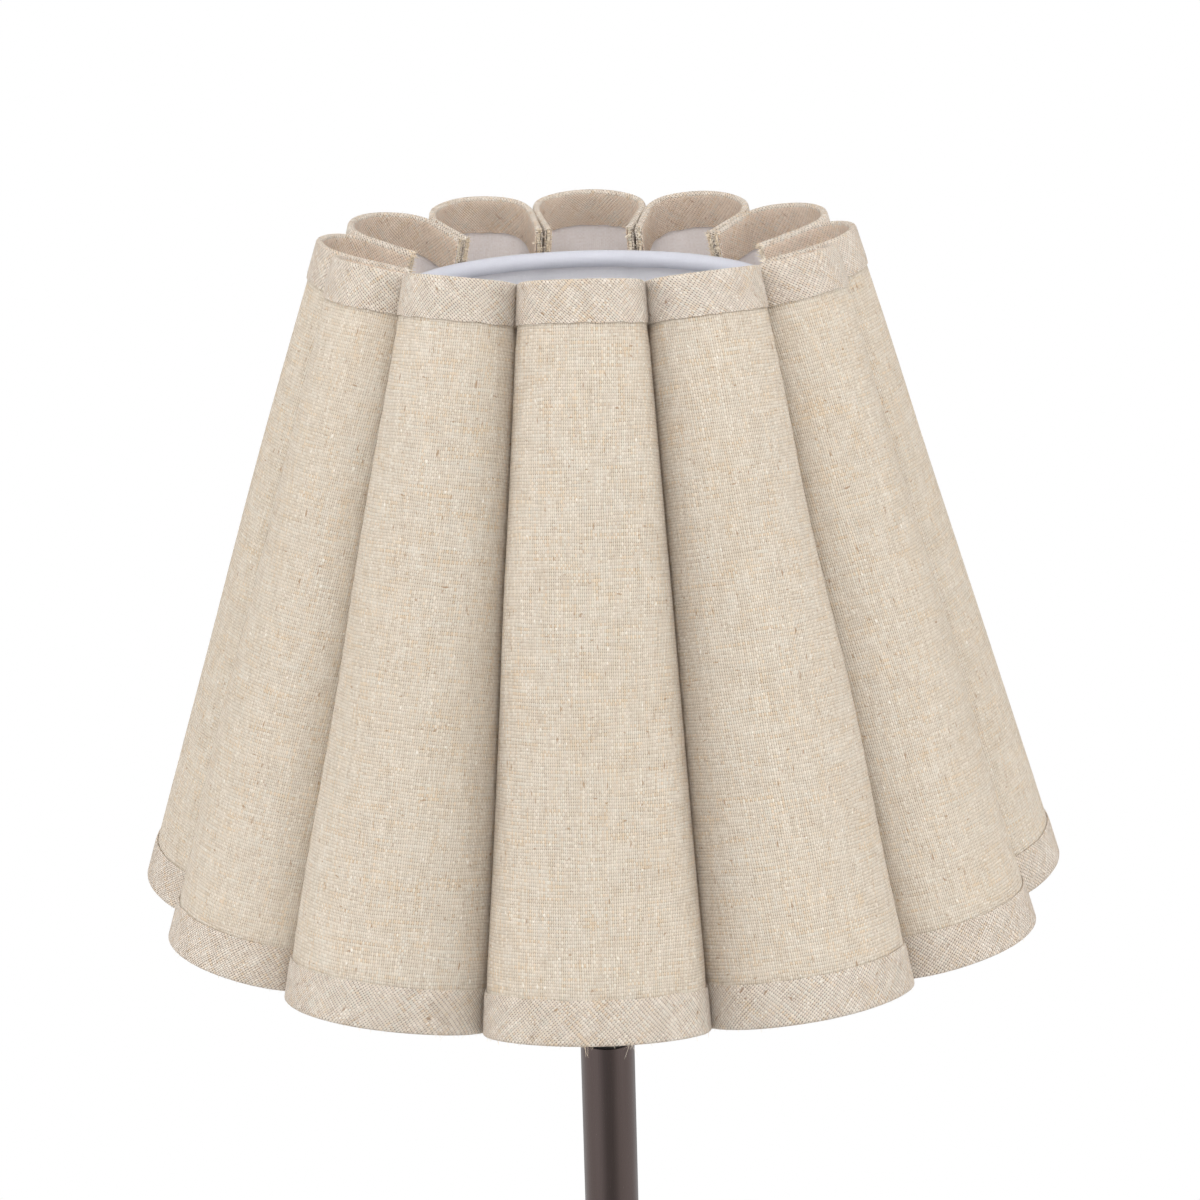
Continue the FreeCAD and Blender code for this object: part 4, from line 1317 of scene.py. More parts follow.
@dataclass
class Petal:
    """One petal of the shade: its cloth on a stiff backing, and a tape over each end."""

    plan: ShadePlan
    finishes: Finishes
    number: int
    cloth_rows: int = 48
    tape_rows: int = 6
    fold_rows: int = 6
    fold_share: float = 0.8
    smooth_deg: float = 50
    tape_clear: float = 0.02 * MM
    pressed_edge: float = 0.18 * MM
    fray_seed: int = 3400
    fray_smooth_deg: float = 60
    hem_step: float = 1.0 * MM
    hem_length_shares: tuple[float, float] = (0.35, 1)
    hem_sideways_share: float = 0.7
    hem_outward_share: float = 0.5
    hem_bend_share: float = 0.3
    last_column_clear: float = 1.001
    thin_share: float = 0.6
    low_hem_threads: int = 90
    low_hem_reach: float = 1.7 * MM
    top_hem_threads: int = 60
    top_hem_reach: float = 1.2 * MM
    hair_radius: float = 0.07 * MM
    end_threads: int = 70
    end_stretch: float = 8.0 * MM
    end_root: float = 0.5 * MM
    end_reach: float = 1.3 * MM
    end_radius: float = 0.17 * MM
    end_sideways_share: float = 0.5
    end_upward_share: float = 0.7
    end_least_share: float = 0.1
    end_thin_share: float = 0.5
    end_bend_share: float = 0.35
    tuft_threads: int = 7
    tuft_reach: float = 2.4 * MM
    tuft_bend: float = 0.9
    tuft_spread: float = 0.6 * MM
    tuft_sideways_share: float = 0.5
    tuft_outward_shares: tuple[float, float] = (0.1, 0.2)
    tuft_least_share: float = 0.5
    tuft_radius: float = 0.045 * MM
    tuft_places: tuple[float, ...] = (-2.2 * MM, 8.8 * MM)
    surface: PetalSurface = field(init=False)

    def __post_init__(self) -> None:
        """Draws the petal's surface."""
        self.surface = PetalSurface(self.plan, self.number)

    def cloth(self) -> bpy.types.Object:
        """Makes the petal's cloth, with linen outside, backing inside and raw cut edges.

        Returns:
            The cloth piece.
        """
        surface = self.surface
        rows = surface.rows_on_cloth(self.cloth_rows)
        points = surface.edge_face(False, rows, np.zeros(self.cloth_rows))
        uv = np.stack([surface.arc_lengths(points), rows], axis=2)
        piece = sheet_mesh(f"petal_cloth_{self.number:02d}", surface.turned(points),
                           surface.shifted(uv))
        self.finishes.coat(piece, "petal_linen", "petal_backing", "raw_linen")
        apply_modifier(piece, "SOLIDIFY", thickness=self.plan.cloth, offset=-1.0,
                       material_offset=1, material_offset_rim=2)
        smooth(piece, self.smooth_deg)
        seat(piece, Body.SHADE, Slot.LINEN, f"petal_{self.number:02d}")
        return piece

    def tape(self, at_top: bool) -> bpy.types.Object:
        """Makes the tape that is folded over one end of the petal.

        Args:
            at_top: True for the tape on the upper end.

        Returns:
            The tape piece.
        """
        surface, plan = self.surface, self.plan
        width = plan.top_tape_width if at_top else plan.bottom_tape_width
        half = plan.cloth / 2 + plan.tape
        inside = -plan.cloth - plan.tape
        angles = np.linspace(0, math.pi, self.fold_rows + 1)
        down = np.linspace(1, 0, self.tape_rows + 1)[:-1]
        outer_wave = surface.edge_change(0 if at_top else 1)[:, None]
        inner_wave = surface.edge_change(2 if at_top else 3)[:, None]
        outer = (width + outer_wave) * down
        fold = np.broadcast_to(-half * np.sin(angles) * self.fold_share + plan.tape,
                               (surface.columns, len(angles)))
        inner = (width + inner_wave) * down[::-1]
        distance = np.concatenate([outer, fold, inner], axis=1)
        pressed = np.full(self.tape_rows, plan.tape)
        pressed[0] = self.pressed_edge
        lift = np.concatenate([pressed,
                               (plan.tape + inside) / 2 + (plan.tape - inside) / 2 * np.cos(angles),
                               np.full(self.tape_rows, inside)])
        points = surface.edge_face(at_top, distance, lift)
        along = surface.arc_lengths(surface.edge_face(at_top, distance, np.zeros(distance.shape[1])))
        path = np.linalg.norm(np.diff(points, axis=1), axis=2)
        path = np.concatenate([np.zeros((surface.columns, 1)), np.cumsum(path, axis=1)], axis=1)
        uv = np.stack([along, path], axis=2)
        faces = len(lift) - 1
        inner_rows = range(faces - self.tape_rows, faces)
        if at_top:
            points, uv = points[:, ::-1], uv[:, ::-1]
            inner_rows = range(self.tape_rows)
        end = "top" if at_top else "bottom"
        piece = sheet_mesh(f"{end}_tape_{self.number:02d}", surface.turned(points),
                           surface.shifted(uv))
        self.finishes.coat(piece, "tape_linen", "inner_tape_painted_light")
        # The inner rows take the inner tape's finish, a lighter and warmer copy of the tape linen that
        # is painted light.
        mark_rows(piece, inner_rows, faces)
        apply_modifier(piece, "SOLIDIFY", thickness=plan.tape - self.tape_clear, offset=-1.0)
        smooth(piece, self.smooth_deg)
        seat(piece, Body.SHADE, Slot.TAPE, f"{end}_bindings")
        return piece

    def fray(self) -> bpy.types.Object:
        """Makes the loose threads of the folded hems and of the cut ends by the lining.

        Returns:
            The piece that holds them.
        """
        surface, plan = self.surface, self.plan
        draw = random.Random(self.fray_seed + self.number)
        threads = LooseThreads(draw)
        near = np.array([0, self.hem_step])
        middle = np.full(len(near), -plan.cloth / 2)
        lower = surface.edge_face(False, near, middle)
        upper = surface.edge_face(True, near, middle)
        self.fray_hem(threads, draw, lower, self.low_hem_threads, self.low_hem_reach)
        self.fray_hem(threads, draw, upper, self.top_hem_threads, self.top_hem_reach)
        if self.number == 1:
            self.add_tufts(threads, draw, lower)
        self.fray_ends(threads, draw, plan.top_wire_z + plan.roll_radius)
        self.fray_ends(threads, draw, plan.base_z - plan.roll_radius)
        piece = threads.build(f"petal_fray_{self.number:02d}", surface.turn)
        self.finishes.coat(piece, "loose_thread")
        smooth(piece, self.fray_smooth_deg)
        seat(piece, Body.SHADE, Slot.LINEN)
        return piece

    def fray_hem(self, threads: LooseThreads, draw: random.Random, rows: np.ndarray, count: int,
                 reach: float) -> None:
        """Adds the fine threads that stand out of one folded hem.

        Args:
            threads: The threads gathered so far.
            draw: The petal's own draw.
            rows: Points on the hem and just beside it, by column.
            count: The number of threads.
            reach: The longest thread.
        """
        away = rows[:, 0] - rows[:, 1]
        for _ in range(count):
            place = draw.uniform(0, self.surface.columns - self.last_column_clear)
            column, share = int(place), place % 1
            root = rows[column, 0] * (1 - share) + rows[column + 1, 0] * share
            along = rows[column + 1, 0] - rows[column, 0]
            sideways = along / np.linalg.norm(along) * draw.gauss(0, self.hem_sideways_share)
            outward = np.cross(along, away[column])
            outward = outward / np.linalg.norm(outward) * draw.gauss(0, self.hem_outward_share)
            threads.add(root, away[column] / self.hem_step + sideways + outward,
                        draw.uniform(*self.hem_length_shares) * reach,
                        draw.uniform(self.thin_share, 1) * self.hair_radius, self.hem_bend_share)

    def add_tufts(self, threads: LooseThreads, draw: random.Random, rows: np.ndarray) -> None:
        """Adds the two tufts that hang from the front petal's lower hem.

        Args:
            threads: The threads gathered so far.
            draw: The petal's own draw.
            rows: Points on the hem and just above it, by column.
        """
        for place in self.tuft_places:
            column = int(np.argmin(np.abs(rows[:, 0, 0] + place)))
            away = rows[column, 0] - rows[column, 1]
            away /= np.linalg.norm(away)
            for _ in range(self.tuft_threads):
                aside = draw.gauss(0, 1) * self.tuft_spread
                root = rows[column, 0] + np.array([aside, self.plan.cloth / 2, 0])
                sideways = draw.gauss(0, self.tuft_sideways_share)
                outward = draw.gauss(*self.tuft_outward_shares)
                threads.add(root, away + np.array([sideways, outward, 0]),
                            draw.uniform(self.tuft_least_share, 1) * self.tuft_reach,
                            draw.uniform(self.thin_share, 1) * self.tuft_radius, self.tuft_bend)

    def fray_ends(self, threads: LooseThreads, draw: random.Random, height: float) -> None:
        """Adds the ragged threads of both cut ends where they stand clear of the lining.

        Args:
            threads: The threads gathered so far.
            draw: The petal's own draw.
            height: The lowest height of the stretch.
        """
        surface, plan = self.surface, self.plan
        run = surface.high[:, 2] - surface.low[:, 2]
        for end, beside in ((0, 1), (-1, -2)):
            for step in range(self.end_threads):
                z = height + step * self.end_stretch / self.end_threads
                share = (z - surface.low[end, 2]) / run[end]
                tip = surface.low[end] + (surface.high[end] - surface.low[end]) * share
                back = surface.low[beside] + (surface.high[beside] - surface.low[beside]) * share
                inward = tip - back
                inward /= np.linalg.norm(inward)
                sideways = np.cross(inward, [0, 0, 1]) * (1 if end else -1)
                depth = draw.uniform(-plan.cloth - plan.tape, plan.tape)
                root = tip - inward * self.end_root + sideways * depth * -1
                ahead = inward + sideways * draw.gauss(0, self.end_sideways_share)
                ahead = ahead + np.array([0, 0, draw.gauss(0, self.end_upward_share)])
                stretch = draw.uniform(self.end_least_share, 1) * self.end_reach
                threads.add(root, ahead, self.end_root + stretch,
                            draw.uniform(self.end_thin_share, 1) * self.end_radius,
                            self.end_bend_share)

    def build(self) -> None:
        """Makes the petal's pieces."""
        tapes = [self.tape(True), self.tape(False), self.fray()]
        cloth = self.cloth()
        rows = self.surface.rows_on_cloth(2)
        across = self.surface.arc_lengths(self.surface.edge_face(False, rows, np.zeros(2)))


@dataclass
class Lining:
    """White laminate cone inside the petals, with its margins rolled over the two wires."""

    plan: ShadePlan
    finishes: Finishes
    columns: int = 144
    roll_rows: int = 18
    wall_rows: int = 24
    seam_azimuth_deg: float = 72.5
    seam_width: float = 9.0 * MM
    seam_rise: float = 0.6 * MM
    seam_slope: float = 1.2 * MM
    seam_start_share: float = 0.25
    pattern_share: float = 1.4
    smooth_deg: float = 60

    def profile(self) -> np.ndarray:
        """Closed section of the cone, from the lower roll up the outer wall and back inside.

        Returns:
            Radius and height of each point.
        """
        plan = self.plan
        slant = plan.lining_slant
        low = np.array([plan.bottom_wire_radius, plan.bottom_wire_z])
        high = np.array([plan.top_wire_radius, plan.top_wire_z])
        outward = np.array([math.cos(slant), math.sin(slant)])
        start = math.atan2(outward[1], outward[0])
        depth = plan.roll_radius - plan.lining_sheet
        inner_angle = math.acos(depth / plan.roll_radius)
        over_top = np.linspace(start, start + math.tau - inner_angle, self.roll_rows)
        under = np.linspace(start + inner_angle - math.tau, start, self.roll_rows)

        def on_roll(centre: np.ndarray, angles: np.ndarray) -> np.ndarray:
            """Points on a roll round a wire, at given angles."""
            return centre + plan.roll_radius * np.c_[np.cos(angles), np.sin(angles)]

        outer = np.linspace(low + outward * plan.roll_radius, high + outward * plan.roll_radius,
                            self.wall_rows)
        upper_roll = on_roll(high, over_top)
        lower_roll = on_roll(low, under)
        inner = np.linspace(upper_roll[-1], lower_roll[0], self.wall_rows)
        return np.concatenate([outer[:-1], upper_roll[:-1], inner[:-1], lower_roll[:-1]])

    def build(self) -> None:
        plan = self.plan
        section = self.profile()
        angles = np.linspace(0, math.tau, self.columns, endpoint=False)
        seam = math.radians(self.seam_azimuth_deg)
        radius = np.broadcast_to(section[:, 0], (self.columns, len(section)))
        off_seam = np.abs((angles - seam + math.pi) % math.tau - math.pi)[:, None] * radius
        raised = eased((self.seam_width / 2 - off_seam) / self.seam_slope)
        seam_start = self.wall_rows + int(self.roll_rows * self.seam_start_share)
        facing_in = np.arange(len(section)) >= seam_start
        radius = radius - raised * self.seam_rise * facing_in
        points = np.stack([radius * np.cos(angles)[:, None], radius * np.sin(angles)[:, None],
                           np.broadcast_to(section[:, 1], radius.shape)], axis=2)
        points = points[::-1]
        path = np.linalg.norm(np.diff(np.vstack([section, section[:1]]), axis=0), axis=1)
        path = np.concatenate([[0], np.cumsum(path)[:-1]])
        pattern = math.tau * plan.top_wire_radius * self.pattern_share
        ring = np.linspace(0, pattern, self.columns)
        uv = np.stack(np.meshgrid(ring, path, indexing="ij"), axis=2)
        points = np.concatenate([points, points[:, :1]], axis=1)
        uv = np.concatenate([uv, uv[:, :1]], axis=1)
        piece = sheet_mesh("lining_cone", points, uv, closed=True)
        self.finishes.coat(piece, "lining_laminate", "lining_roll_painted_shade")
        # The margin rolled over the upper wire takes the darker copy of the laminate, which is painted
        # shade.
        mark_rows(piece, range(self.wall_rows - 1, self.wall_rows + self.roll_rows - 2), len(section))
        apply_modifier(piece, "WELD", merge_threshold=WELD_DISTANCE)
        smooth(piece, self.smooth_deg)
        seat(piece, Body.SHADE, Slot.LINING, "lining")
        slant_length = (plan.top_wire_z - plan.bottom_wire_z) / math.cos(plan.lining_slant)
        slant_length += math.tau * plan.roll_radius * 2


def turned_wall(name: str, outline: list[tuple[float, float]], segments: int) -> bpy.types.Object:
    """Models a turned wall by extruding one ring after another.

    Args:
        name: The piece's name.
        outline: Radius and height of each ring, once round the wall's section.
        segments: The number of sides of each ring.

    Returns:
        The closed piece.
    """
    radius, height = outline[0]
    bpy.ops.object.select_all(action="DESELECT")
    bpy.ops.mesh.primitive_circle_add(vertices=segments, radius=radius, location=(0, 0, height))
    piece = bpy.context.active_object
    piece.name = name
    bpy.ops.object.mode_set(mode="EDIT")
    bpy.ops.mesh.select_all(action="SELECT")
    for next_radius, next_height in outline[1:]:
        bpy.ops.mesh.extrude_edges_move(TRANSFORM_OT_translate={"value": (0, 0, next_height - height)})
        share = next_radius / radius
        bpy.ops.transform.resize(value=(share, share, 1), center_override=(0, 0, 0))
        radius, height = next_radius, next_height
    bpy.ops.mesh.select_all(action="DESELECT")
    bpy.ops.mesh.select_non_manifold(extend=False)
    bpy.ops.mesh.bridge_edge_loops()
    close_outward()
    return piece


def close_outward() -> None:
    """Fills the open ends of the piece in edit mode, turns its faces outward and goes back."""
    bpy.ops.mesh.select_all(action="SELECT")
    bpy.ops.mesh.fill_holes(sides=0)
    bpy.ops.mesh.normals_make_consistent(inside=False)
    bpy.ops.object.mode_set(mode="OBJECT")
    bpy.ops.object.transform_apply(location=True, rotation=True, scale=True)


@dataclass(frozen=True)
class ScrewThread:
    """A helical thread with a rounded crest."""

    root_radius: float
    height: float
    half_width: float
    pitch: float
    start_z: float
    end_z: float
    sides: int = 10
    steps_per_turn: int = 64

    def build(self, name: str) -> bpy.types.Object:
        """Models the thread by turning a flattened circle up the axis.

        Args:
            name: The piece's name.

        Returns:
            The closed thread.
        """
        turns = (self.end_z - self.start_z) / self.pitch
        bpy.ops.object.select_all(action="DESELECT")
        bpy.ops.mesh.primitive_circle_add(vertices=self.sides, radius=self.height,
                                          location=(self.root_radius, 0, self.start_z),
                                          rotation=(math.pi / 2, 0, 0))
        piece = bpy.context.active_object
        piece.name = name
        bpy.ops.object.mode_set(mode="EDIT")
        bpy.ops.mesh.select_all(action="SELECT")
        bpy.ops.transform.resize(value=(1, 1, self.half_width / self.height),
                                 center_override=(self.root_radius, 0, self.start_z))
        bpy.ops.object.mode_set(mode="OBJECT")
        bpy.ops.object.transform_apply(location=True, rotation=True, scale=True)
        apply_modifier(piece, "SCREW", angle=math.tau * turns, screw_offset=self.pitch * turns,
                       steps=round(self.steps_per_turn * turns))
        bpy.ops.object.mode_set(mode="EDIT")
        close_outward()
        return piece


@dataclass(frozen=True)
class ThreadedWall:
    """A turned wall that carries a thread and stands for one solid."""

    name: str
    node: str
    body: Body
    slot: Slot
    thread: ScrewThread
    segments: int = 128
    smooth_deg: float = 35

    def build(self, outline: list[tuple[float, float]], finishes: Finishes) -> None:
        """Makes the wall and its thread as one piece.

        Args:
            outline: Radius and height of each ring, once round the wall's section.
            finishes: The lamp's finishes.
        """
        wall = turned_wall(self.name, outline, self.segments)
        thread = self.thread.build(self.name + "_thread")
        select_only(wall)
        thread.select_set(True)
        bpy.ops.object.join()
        wall.data.materials.clear()
        wall.data.materials.append(finishes.by_slot[self.slot.value])
        smooth(wall, self.smooth_deg)
        seat(wall, self.body, self.slot, self.node)


def corner_points(corner: tuple[float, float], across: float, up: float,
                  shares: tuple[tuple[float, float], ...]) -> list[tuple[float, float]]:
    """Points of a corner of an outline that isn't sharp.

    Args:
        corner: Radius and height where the sharp corner would be.
        across: How far the points reach from it across the axis, less than zero towards the axis.
        up: How far they reach along the axis, less than zero downward.
        shares: The share of each reach, for each point.

    Returns:
        Radius and height of each point.
    """
    return [(corner[0] + across * sideways, corner[1] + up * upward) for sideways, upward in shares]


@dataclass(frozen=True)
class HolderBarrel:
    """Threaded barrel of the lampholder: spigot below, then a collar, then the threaded sleeve."""

    finishes: Finishes
    wall: ThreadedWall = ThreadedWall(
        name="holder_barrel", node="holder_body", body=Body.ROOT, slot=Slot.BLACK_PLASTIC,
        thread=ScrewThread(root_radius=19.2 * MM, height=0.63 * MM, half_width=0.8 * MM,
                           pitch=2.6 * MM, start_z=281.2 * MM, end_z=319.0 * MM))
    foot_z: float = 271.0 * MM
    collar_z: float = 277.0 * MM
    collar_top_z: float = 279.5 * MM
    top_z: float = 320.5 * MM
    spigot_radius: float = 17.55 * MM
    spigot_bore: float = 16.15 * MM
    collar_radius: float = 21.0 * MM
    sleeve_radius: float = 19.2 * MM
    sleeve_bore: float = 17.65 * MM
    lead_width: float = 0.25 * MM
    lead_height: float = 0.3 * MM
    collar_round: float = 0.5 * MM
    rim_round: float = 0.6 * MM
    mouth_width: float = 0.65 * MM
    lead_shares: tuple = ((1, 0), (0, 1))
    collar_shares: tuple = ((1, 0), (0.3, 0.3), (0, 1))
    rim_shares: tuple = ((0, 1), (1 / 3, 1 / 4), (1, 0))
    mouth_shares: tuple = ((1, 0), (4 / 13, 1 / 3), (0, 1))

    def outline(self) -> list[tuple[float, float]]:
        """Draws the section up the outside, over the rim and down the bore.

        Returns:
            Radius and height of each ring.
        """
        points = [(self.spigot_bore, self.foot_z)]
        points += corner_points((self.spigot_radius, self.foot_z), -self.lead_width,
                                self.lead_height, self.lead_shares)
        points += [(self.spigot_radius, self.collar_z)]
        points += corner_points((self.collar_radius, self.collar_z), -self.collar_round,
                                self.collar_round, self.collar_shares)
        points += corner_points((self.collar_radius, self.collar_top_z), -self.collar_round,
                                -self.collar_round, self.collar_shares[::-1])
        points += [(self.sleeve_radius, self.collar_top_z)]
        points += corner_points((self.sleeve_radius, self.top_z), -self.rim_round,
                                -self.rim_round, self.rim_shares)
        points += corner_points((self.sleeve_bore, self.top_z), self.mouth_width,
                                -self.rim_round, self.mouth_shares)
        return points + [(self.sleeve_bore, self.collar_top_z), (self.spigot_bore, self.collar_z)]

    def build(self) -> None:
        """Makes the barrel."""
        self.wall.build(self.outline(), self.finishes)


@dataclass(frozen=True)
class BulbCap:
    """Screw cap of the bulb: thin sheet that flares above its thread to take the glass."""

    finishes: Finishes
    wall: ThreadedWall = ThreadedWall(
        name="cap_with_thread", node="bulb_cap", body=Body.BULB, slot=Slot.CAP_METAL,
        thread=ScrewThread(root_radius=12.15 * MM, height=0.83 * MM, half_width=1.3 * MM,
                           pitch=3.62 * MM, start_z=289.6 * MM, end_z=298.4 * MM, sides=14))
    foot_z: float = 287.2 * MM
    flare_z: float = 299.0 * MM
    lip_z: float = 304.6 * MM
    hole_radius: float = 4.8 * MM
    shell_radius: float = 12.15 * MM
    sheet: float = 0.35 * MM
    foot_width: float = 1.25 * MM
    foot_height: float = 1.1 * MM
    flare_width: float = 0.85 * MM
    flare_height: float = 1.1 * MM
    lip_height: float = 0.6 * MM
    inner_rise: float = 0.1 * MM
    inner_foot_width: float = 1.0 * MM
    inner_foot_height: float = 0.95 * MM
    foot_shares: tuple = ((1, 0), (13 / 25, 3 / 22), (0, 1))
    flare_shares: tuple = ((0, 0), (5 / 17, 4 / 11), (15 / 17, 7 / 11), (1, 1))
    lip_shares: tuple = ((0, 0), (1 / 7, 2 / 3), (4 / 7, 1), (1, 2 / 3))
    inner_flare_shares: tuple = ((1, 1), (5 / 17, 6 / 11), (0, 0))
    inner_foot_shares: tuple = ((0, 1), (1 / 2, 3 / 19), (1, 0))

    def outline(self) -> list[tuple[float, float]]:
        """Draws the section up the outside, over the lip and down the inside.

        Returns:
            Radius and height of each ring.
        """
        inner_radius = self.shell_radius - self.sheet
        inner_foot_z = self.foot_z + self.sheet
        points = [(self.hole_radius, self.foot_z)]
        points += corner_points((self.shell_radius, self.foot_z), -self.foot_width,
                                self.foot_height, self.foot_shares)
        points += corner_points((self.shell_radius, self.flare_z), self.flare_width,
                                self.flare_height, self.flare_shares)
        points += corner_points((self.shell_radius + self.flare_width, self.lip_z), -self.sheet,
                                self.lip_height, self.lip_shares)
        points += corner_points((inner_radius, self.flare_z + self.inner_rise), self.flare_width,
                                self.flare_height, self.inner_flare_shares)
        points += corner_points((inner_radius, inner_foot_z), -self.inner_foot_width,
                                self.inner_foot_height, self.inner_foot_shares)
        return points + [(self.hole_radius, inner_foot_z)]

    def build(self) -> None:
        """Makes the cap."""
        self.wall.build(self.outline(), self.finishes)


@dataclass
class FeltPad:
    """Round felt pad glued under the foot, with a soft rim that isn't cut quite true."""

    finishes: Finishes
    radius: float = 76.5 * MM
    thickness: float = 2.0 * MM
    rounding: float = 0.6 * MM
    columns: int = 180
    flat_rows: int = 24
    rim_rows: int = 5
    seed: int = 56
    rim_waves: int = 9
    rim_wave_counts: tuple[int, int] = (3, 40)
    rim_wave: float = 0.12 * MM
    smooth_deg: float = 60

    def build(self) -> None:
        draw = random.Random(self.seed)
        flat_radii = np.linspace(0, self.radius - self.rounding, self.flat_rows)
        turns = np.linspace(0, math.pi / 2, self.rim_rows)
        rim = self.radius - self.rounding + self.rounding * np.sin(turns)
        rise = self.rounding * (1 - np.cos(turns))
        radii = np.concatenate([flat_radii, rim[1:], rim[:0:-1], flat_radii[::-1]])
        heights = np.concatenate([np.zeros(len(flat_radii)), rise[1:],
                                  self.thickness - rise[:0:-1],
                                  np.full(len(flat_radii), self.thickness)])
        angles = np.linspace(0, math.tau, self.columns, endpoint=False)
        waves = [(draw.randint(*self.rim_wave_counts), draw.uniform(0, math.tau))
                 for _ in range(self.rim_waves)]
        wave = sum(np.sin(angles * count + start) for count, start in waves) / self.rim_waves
        spread = 1 + wave[:, None] * self.rim_wave / self.radius
        points = np.stack([radii * np.cos(angles)[:, None] * spread,
                           radii * np.sin(angles)[:, None] * spread,
                           np.broadcast_to(heights, (self.columns, len(heights)))], axis=2)
        points = points[::-1]
        uv = points[:, :, :2].copy()
        piece = sheet_mesh("felt_pad", points, uv, closed=True)
        apply_modifier(piece, "WELD", merge_threshold=WELD_DISTANCE)
        piece.data.materials.append(self.finishes.by_slot[Slot.FELT.value])
        smooth(piece, self.smooth_deg)
        seat(piece, Body.ROOT, Slot.FELT, "base_pad")


@dataclass(frozen=True)
class Viewpoint:
    """The camera, as worked out from the photograph's perspective."""

    focal_pixels: float = 3196.1
    distance: float = 986.3 * MM
    height: float = 682.9 * MM
    azimuth_deg: float = 1.283
    yaw_deg: float = 0.149
    pitch_deg: float = 15.509
    roll_deg: float = 1.549
    axis_pixel_x: float = 602.5
    axis_pixel_y: float = 573.4
    sensor: float = 36.0
    near_clip: float = 10 * MM
    far_clip: float = 50.0

    def build(self) -> None:
        """Makes the camera and sets it as the scene's."""
        data = bpy.data.cameras.new("camera")
        data.sensor_width = self.sensor
        data.lens = self.sensor * self.focal_pixels / PIXELS
        data.shift_x = (PIXELS / 2 - self.axis_pixel_x) / PIXELS
        data.shift_y = (self.axis_pixel_y - PIXELS / 2) / PIXELS
        data.clip_start = self.near_clip
        data.clip_end = self.far_clip
        turn = math.radians(self.azimuth_deg)
        pitch = math.radians(self.pitch_deg)
        yaw = math.radians(self.yaw_deg) - turn
        place = Vector((self.distance * math.sin(turn), -self.distance * math.cos(turn), self.height))
        ahead = Vector((math.sin(yaw) * math.cos(pitch), math.cos(yaw) * math.cos(pitch),
                        -math.sin(pitch)))
        right = Vector((math.cos(yaw), -math.sin(yaw), 0))
        up = right.cross(ahead)
        roll = math.radians(self.roll_deg)
        tilted_right = right * math.cos(roll) - up * math.sin(roll)
        tilted_up = right * math.sin(roll) + up * math.cos(roll)
        camera = bpy.data.objects.new("camera", data)
        camera.matrix_world = Matrix.Translation(place) @ Matrix(
            (tilted_right, tilted_up, -ahead)).transposed().to_4x4()
        bpy.context.scene.collection.objects.link(camera)
        bpy.context.scene.camera = camera


@dataclass(frozen=True)
class SoftLamp:
    """A square soft lamp that faces the shade; its power is in watts."""

    name: str
    place: Triple
    size: float
    power: float
    aim: Triple = (0.0, 0.0, 0.35)

    def build(self) -> None:
        """Adds the lamp to the scene."""
        data = bpy.data.lights.new(self.name, "AREA")
        data.size = self.size
        data.energy = self.power
        lamp = bpy.data.objects.new(self.name, data)
        lamp.location = self.place
        ahead = Vector(self.aim) - Vector(self.place)
        lamp.rotation_euler = ahead.to_track_quat("-Z", "Y").to_euler()
        bpy.context.scene.collection.objects.link(lamp)


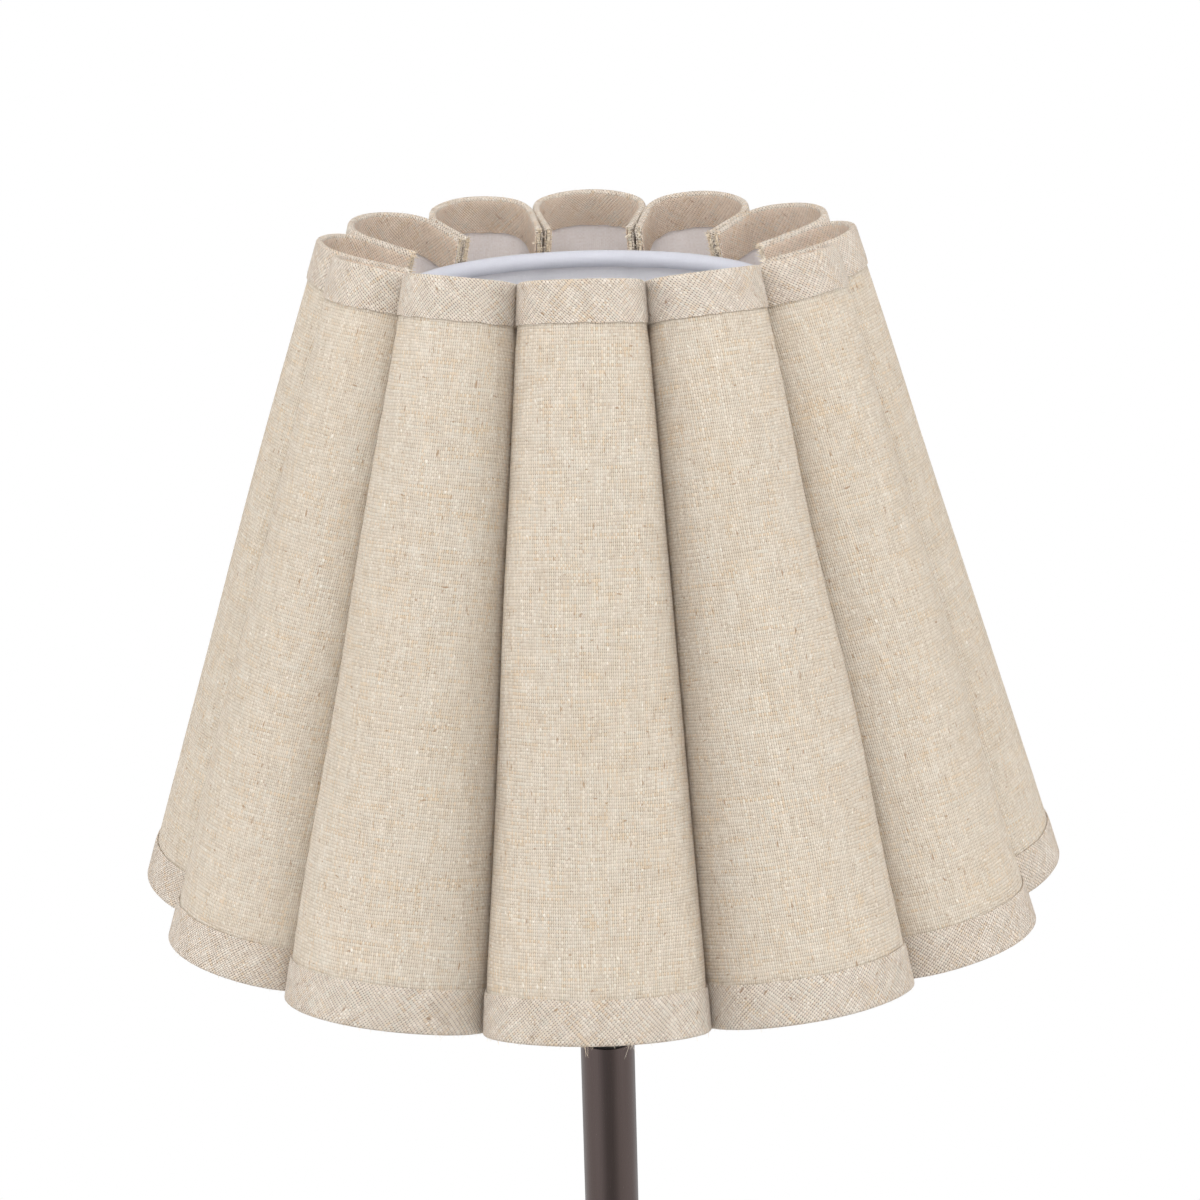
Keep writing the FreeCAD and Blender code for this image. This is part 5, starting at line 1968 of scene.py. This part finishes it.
@dataclass(frozen=True)
class Studio:
    """Pale floor, white surroundings and soft lamps."""

    floor_size: float = 12.0
    shadow_reach: float = 0.2
    white_from: float = 0.38
    floor_colour: float = 0.62
    ambient: float = 0.64
    mirrored_low: float = 0.5
    mirrored_high: float = 1.05
    sideways_from: float = 0.2
    sideways_to: float = 0.8
    floor_roughness: float = 0.9
    floor_specular: float = 0.1
    lamps: tuple[SoftLamp, ...] = (
        SoftLamp("left_lamp", place=(-1.5, -0.35, 0.8), size=1.2, power=13.0),
        SoftLamp("right_lamp", place=(1.5, -0.35, 0.8), size=1.2, power=13.0),
        SoftLamp("top_lamp", place=(0, -0.55, 1.9), size=0.9, power=5.0),
        SoftLamp("front_lamp", place=(0, -1.7, 1.7), size=1.6, power=26.0),
        SoftLamp("back_lamp", place=(0, 1.7, 1.2), size=1.6, power=7.0))

    def mirrored(self, w: Wiring, place: object) -> bpy.types.NodeSocket:
        """Brightness of the studio in reflections: bright at both sides, dim front and back.

        Args:
            w: The wiring of the world or of the floor's material.
            place: The direction or the place that is seen.

        Returns:
            The brightness.
        """
        parts = w.add("SeparateXYZ")
        w.feed(parts.inputs[0], place)
        length = w.add("VectorMath", operation="LENGTH")
        w.feed(length.inputs[0], place)
        sideways = w.sum("DIVIDE", w.sum("ABSOLUTE", parts.outputs[0]), length.outputs["Value"])
        return w.ramp(sideways, self.sideways_from, self.sideways_to, self.mirrored_low,
                      self.mirrored_high)

    def world(self) -> None:
        """Makes the surroundings: white to the eye, with bright sides in reflections."""
        world = bpy.data.worlds.new("studio")
        bpy.context.scene.world = world
        world.use_nodes = True
        w = Wiring(world.node_tree)
        path = w.add("LightPath").outputs
        mirrored = self.mirrored(w, w.add("TexCoord").outputs["Generated"])
        seen = w.between(path["Is Glossy Ray"], self.ambient, mirrored)
        seen = w.between(w.sum("MAXIMUM", path["Is Camera Ray"], path["Is Transmission Ray"]), seen, 1.0)
        background = w.add("Background")
        w.feed(background.inputs["Strength"], seen)
        background.inputs["Color"].default_value = (1, 1, 1, 1)
        output = w.add("OutputWorld")
        w.feed(output.inputs["Surface"], background.outputs[0])

    def floor(self) -> None:
        """Makes the floor, which keeps the lamp's shadow and turns white further out."""
        bpy.ops.object.select_all(action="DESELECT")
        bpy.ops.mesh.primitive_plane_add(size=self.floor_size, location=(0, 0, 0))
        floor = bpy.context.active_object
        floor.name = "floor"
        material, w, shader = new_material("pale_floor")
        shader.inputs["Base Color"].default_value = (*(self.floor_colour,) * 3, 1)
        shader.inputs["Roughness"].default_value = self.floor_roughness
        shader.inputs["Specular IOR Level"].default_value = self.floor_specular
        place = w.add("TexCoord").outputs["Object"]
        distance = w.add("VectorMath", operation="LENGTH")
        w.feed(distance.inputs[0], place)
        path = w.add("LightPath").outputs
        glow = w.add("Emission")
        w.feed(glow.inputs["Strength"], self.mirrored(w, place))
        lit = w.add("MixShader")
        w.feed(lit.inputs[0], path["Is Glossy Ray"])
        w.feed(lit.inputs[1], shader.outputs[0])
        w.feed(lit.inputs[2], glow.outputs[0])
        seen = w.sum("MAXIMUM", path["Is Camera Ray"], path["Is Transmission Ray"])
        far = w.ramp(distance.outputs["Value"], self.shadow_reach, self.white_from)
        white = w.add("Emission")
        mixed = w.add("MixShader")
        w.feed(mixed.inputs[0], w.sum("MULTIPLY", far, seen))
        w.feed(mixed.inputs[1], lit.outputs[0])
        w.feed(mixed.inputs[2], white.outputs[0])
        under = w.add("MixShader")
        w.feed(under.inputs[0], w.add("NewGeometry").outputs["Backfacing"])
        w.feed(under.inputs[1], mixed.outputs[0])
        w.feed(under.inputs[2], w.add("BsdfTransparent").outputs[0])
        output = next(node for node in w.tree.nodes if node.type == "OUTPUT_MATERIAL")
        w.feed(output.inputs["Surface"], under.outputs[0])
        floor.data.materials.append(material)

    def build(self) -> None:
        """Makes the whole studio."""
        self.world()
        self.floor()
        for lamp in self.lamps:
            lamp.build()
        scene = bpy.context.scene
        scene.view_settings.view_transform = "Standard"


def main() -> None:
    """Builds the lamp's looks in order."""
    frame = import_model()
    bpy.ops.object.select_all(action="DESELECT")
    Viewpoint().build()
    Studio().build()
    finishes = Finishes()
    finishes.dress(frame["nodes"], frame["record"])
    plan = ShadePlan()
    FeltPad(finishes).build()
    HolderBarrel(finishes).build()
    BulbCap(finishes).build()
    Lining(plan, finishes).build()
    for number in range(1, plan.petals + 1):
        Petal(plan, finishes, number).build()


if __name__ == "__main__":
    logging.basicConfig(level=logging.INFO, format="%(message)s")
    main()
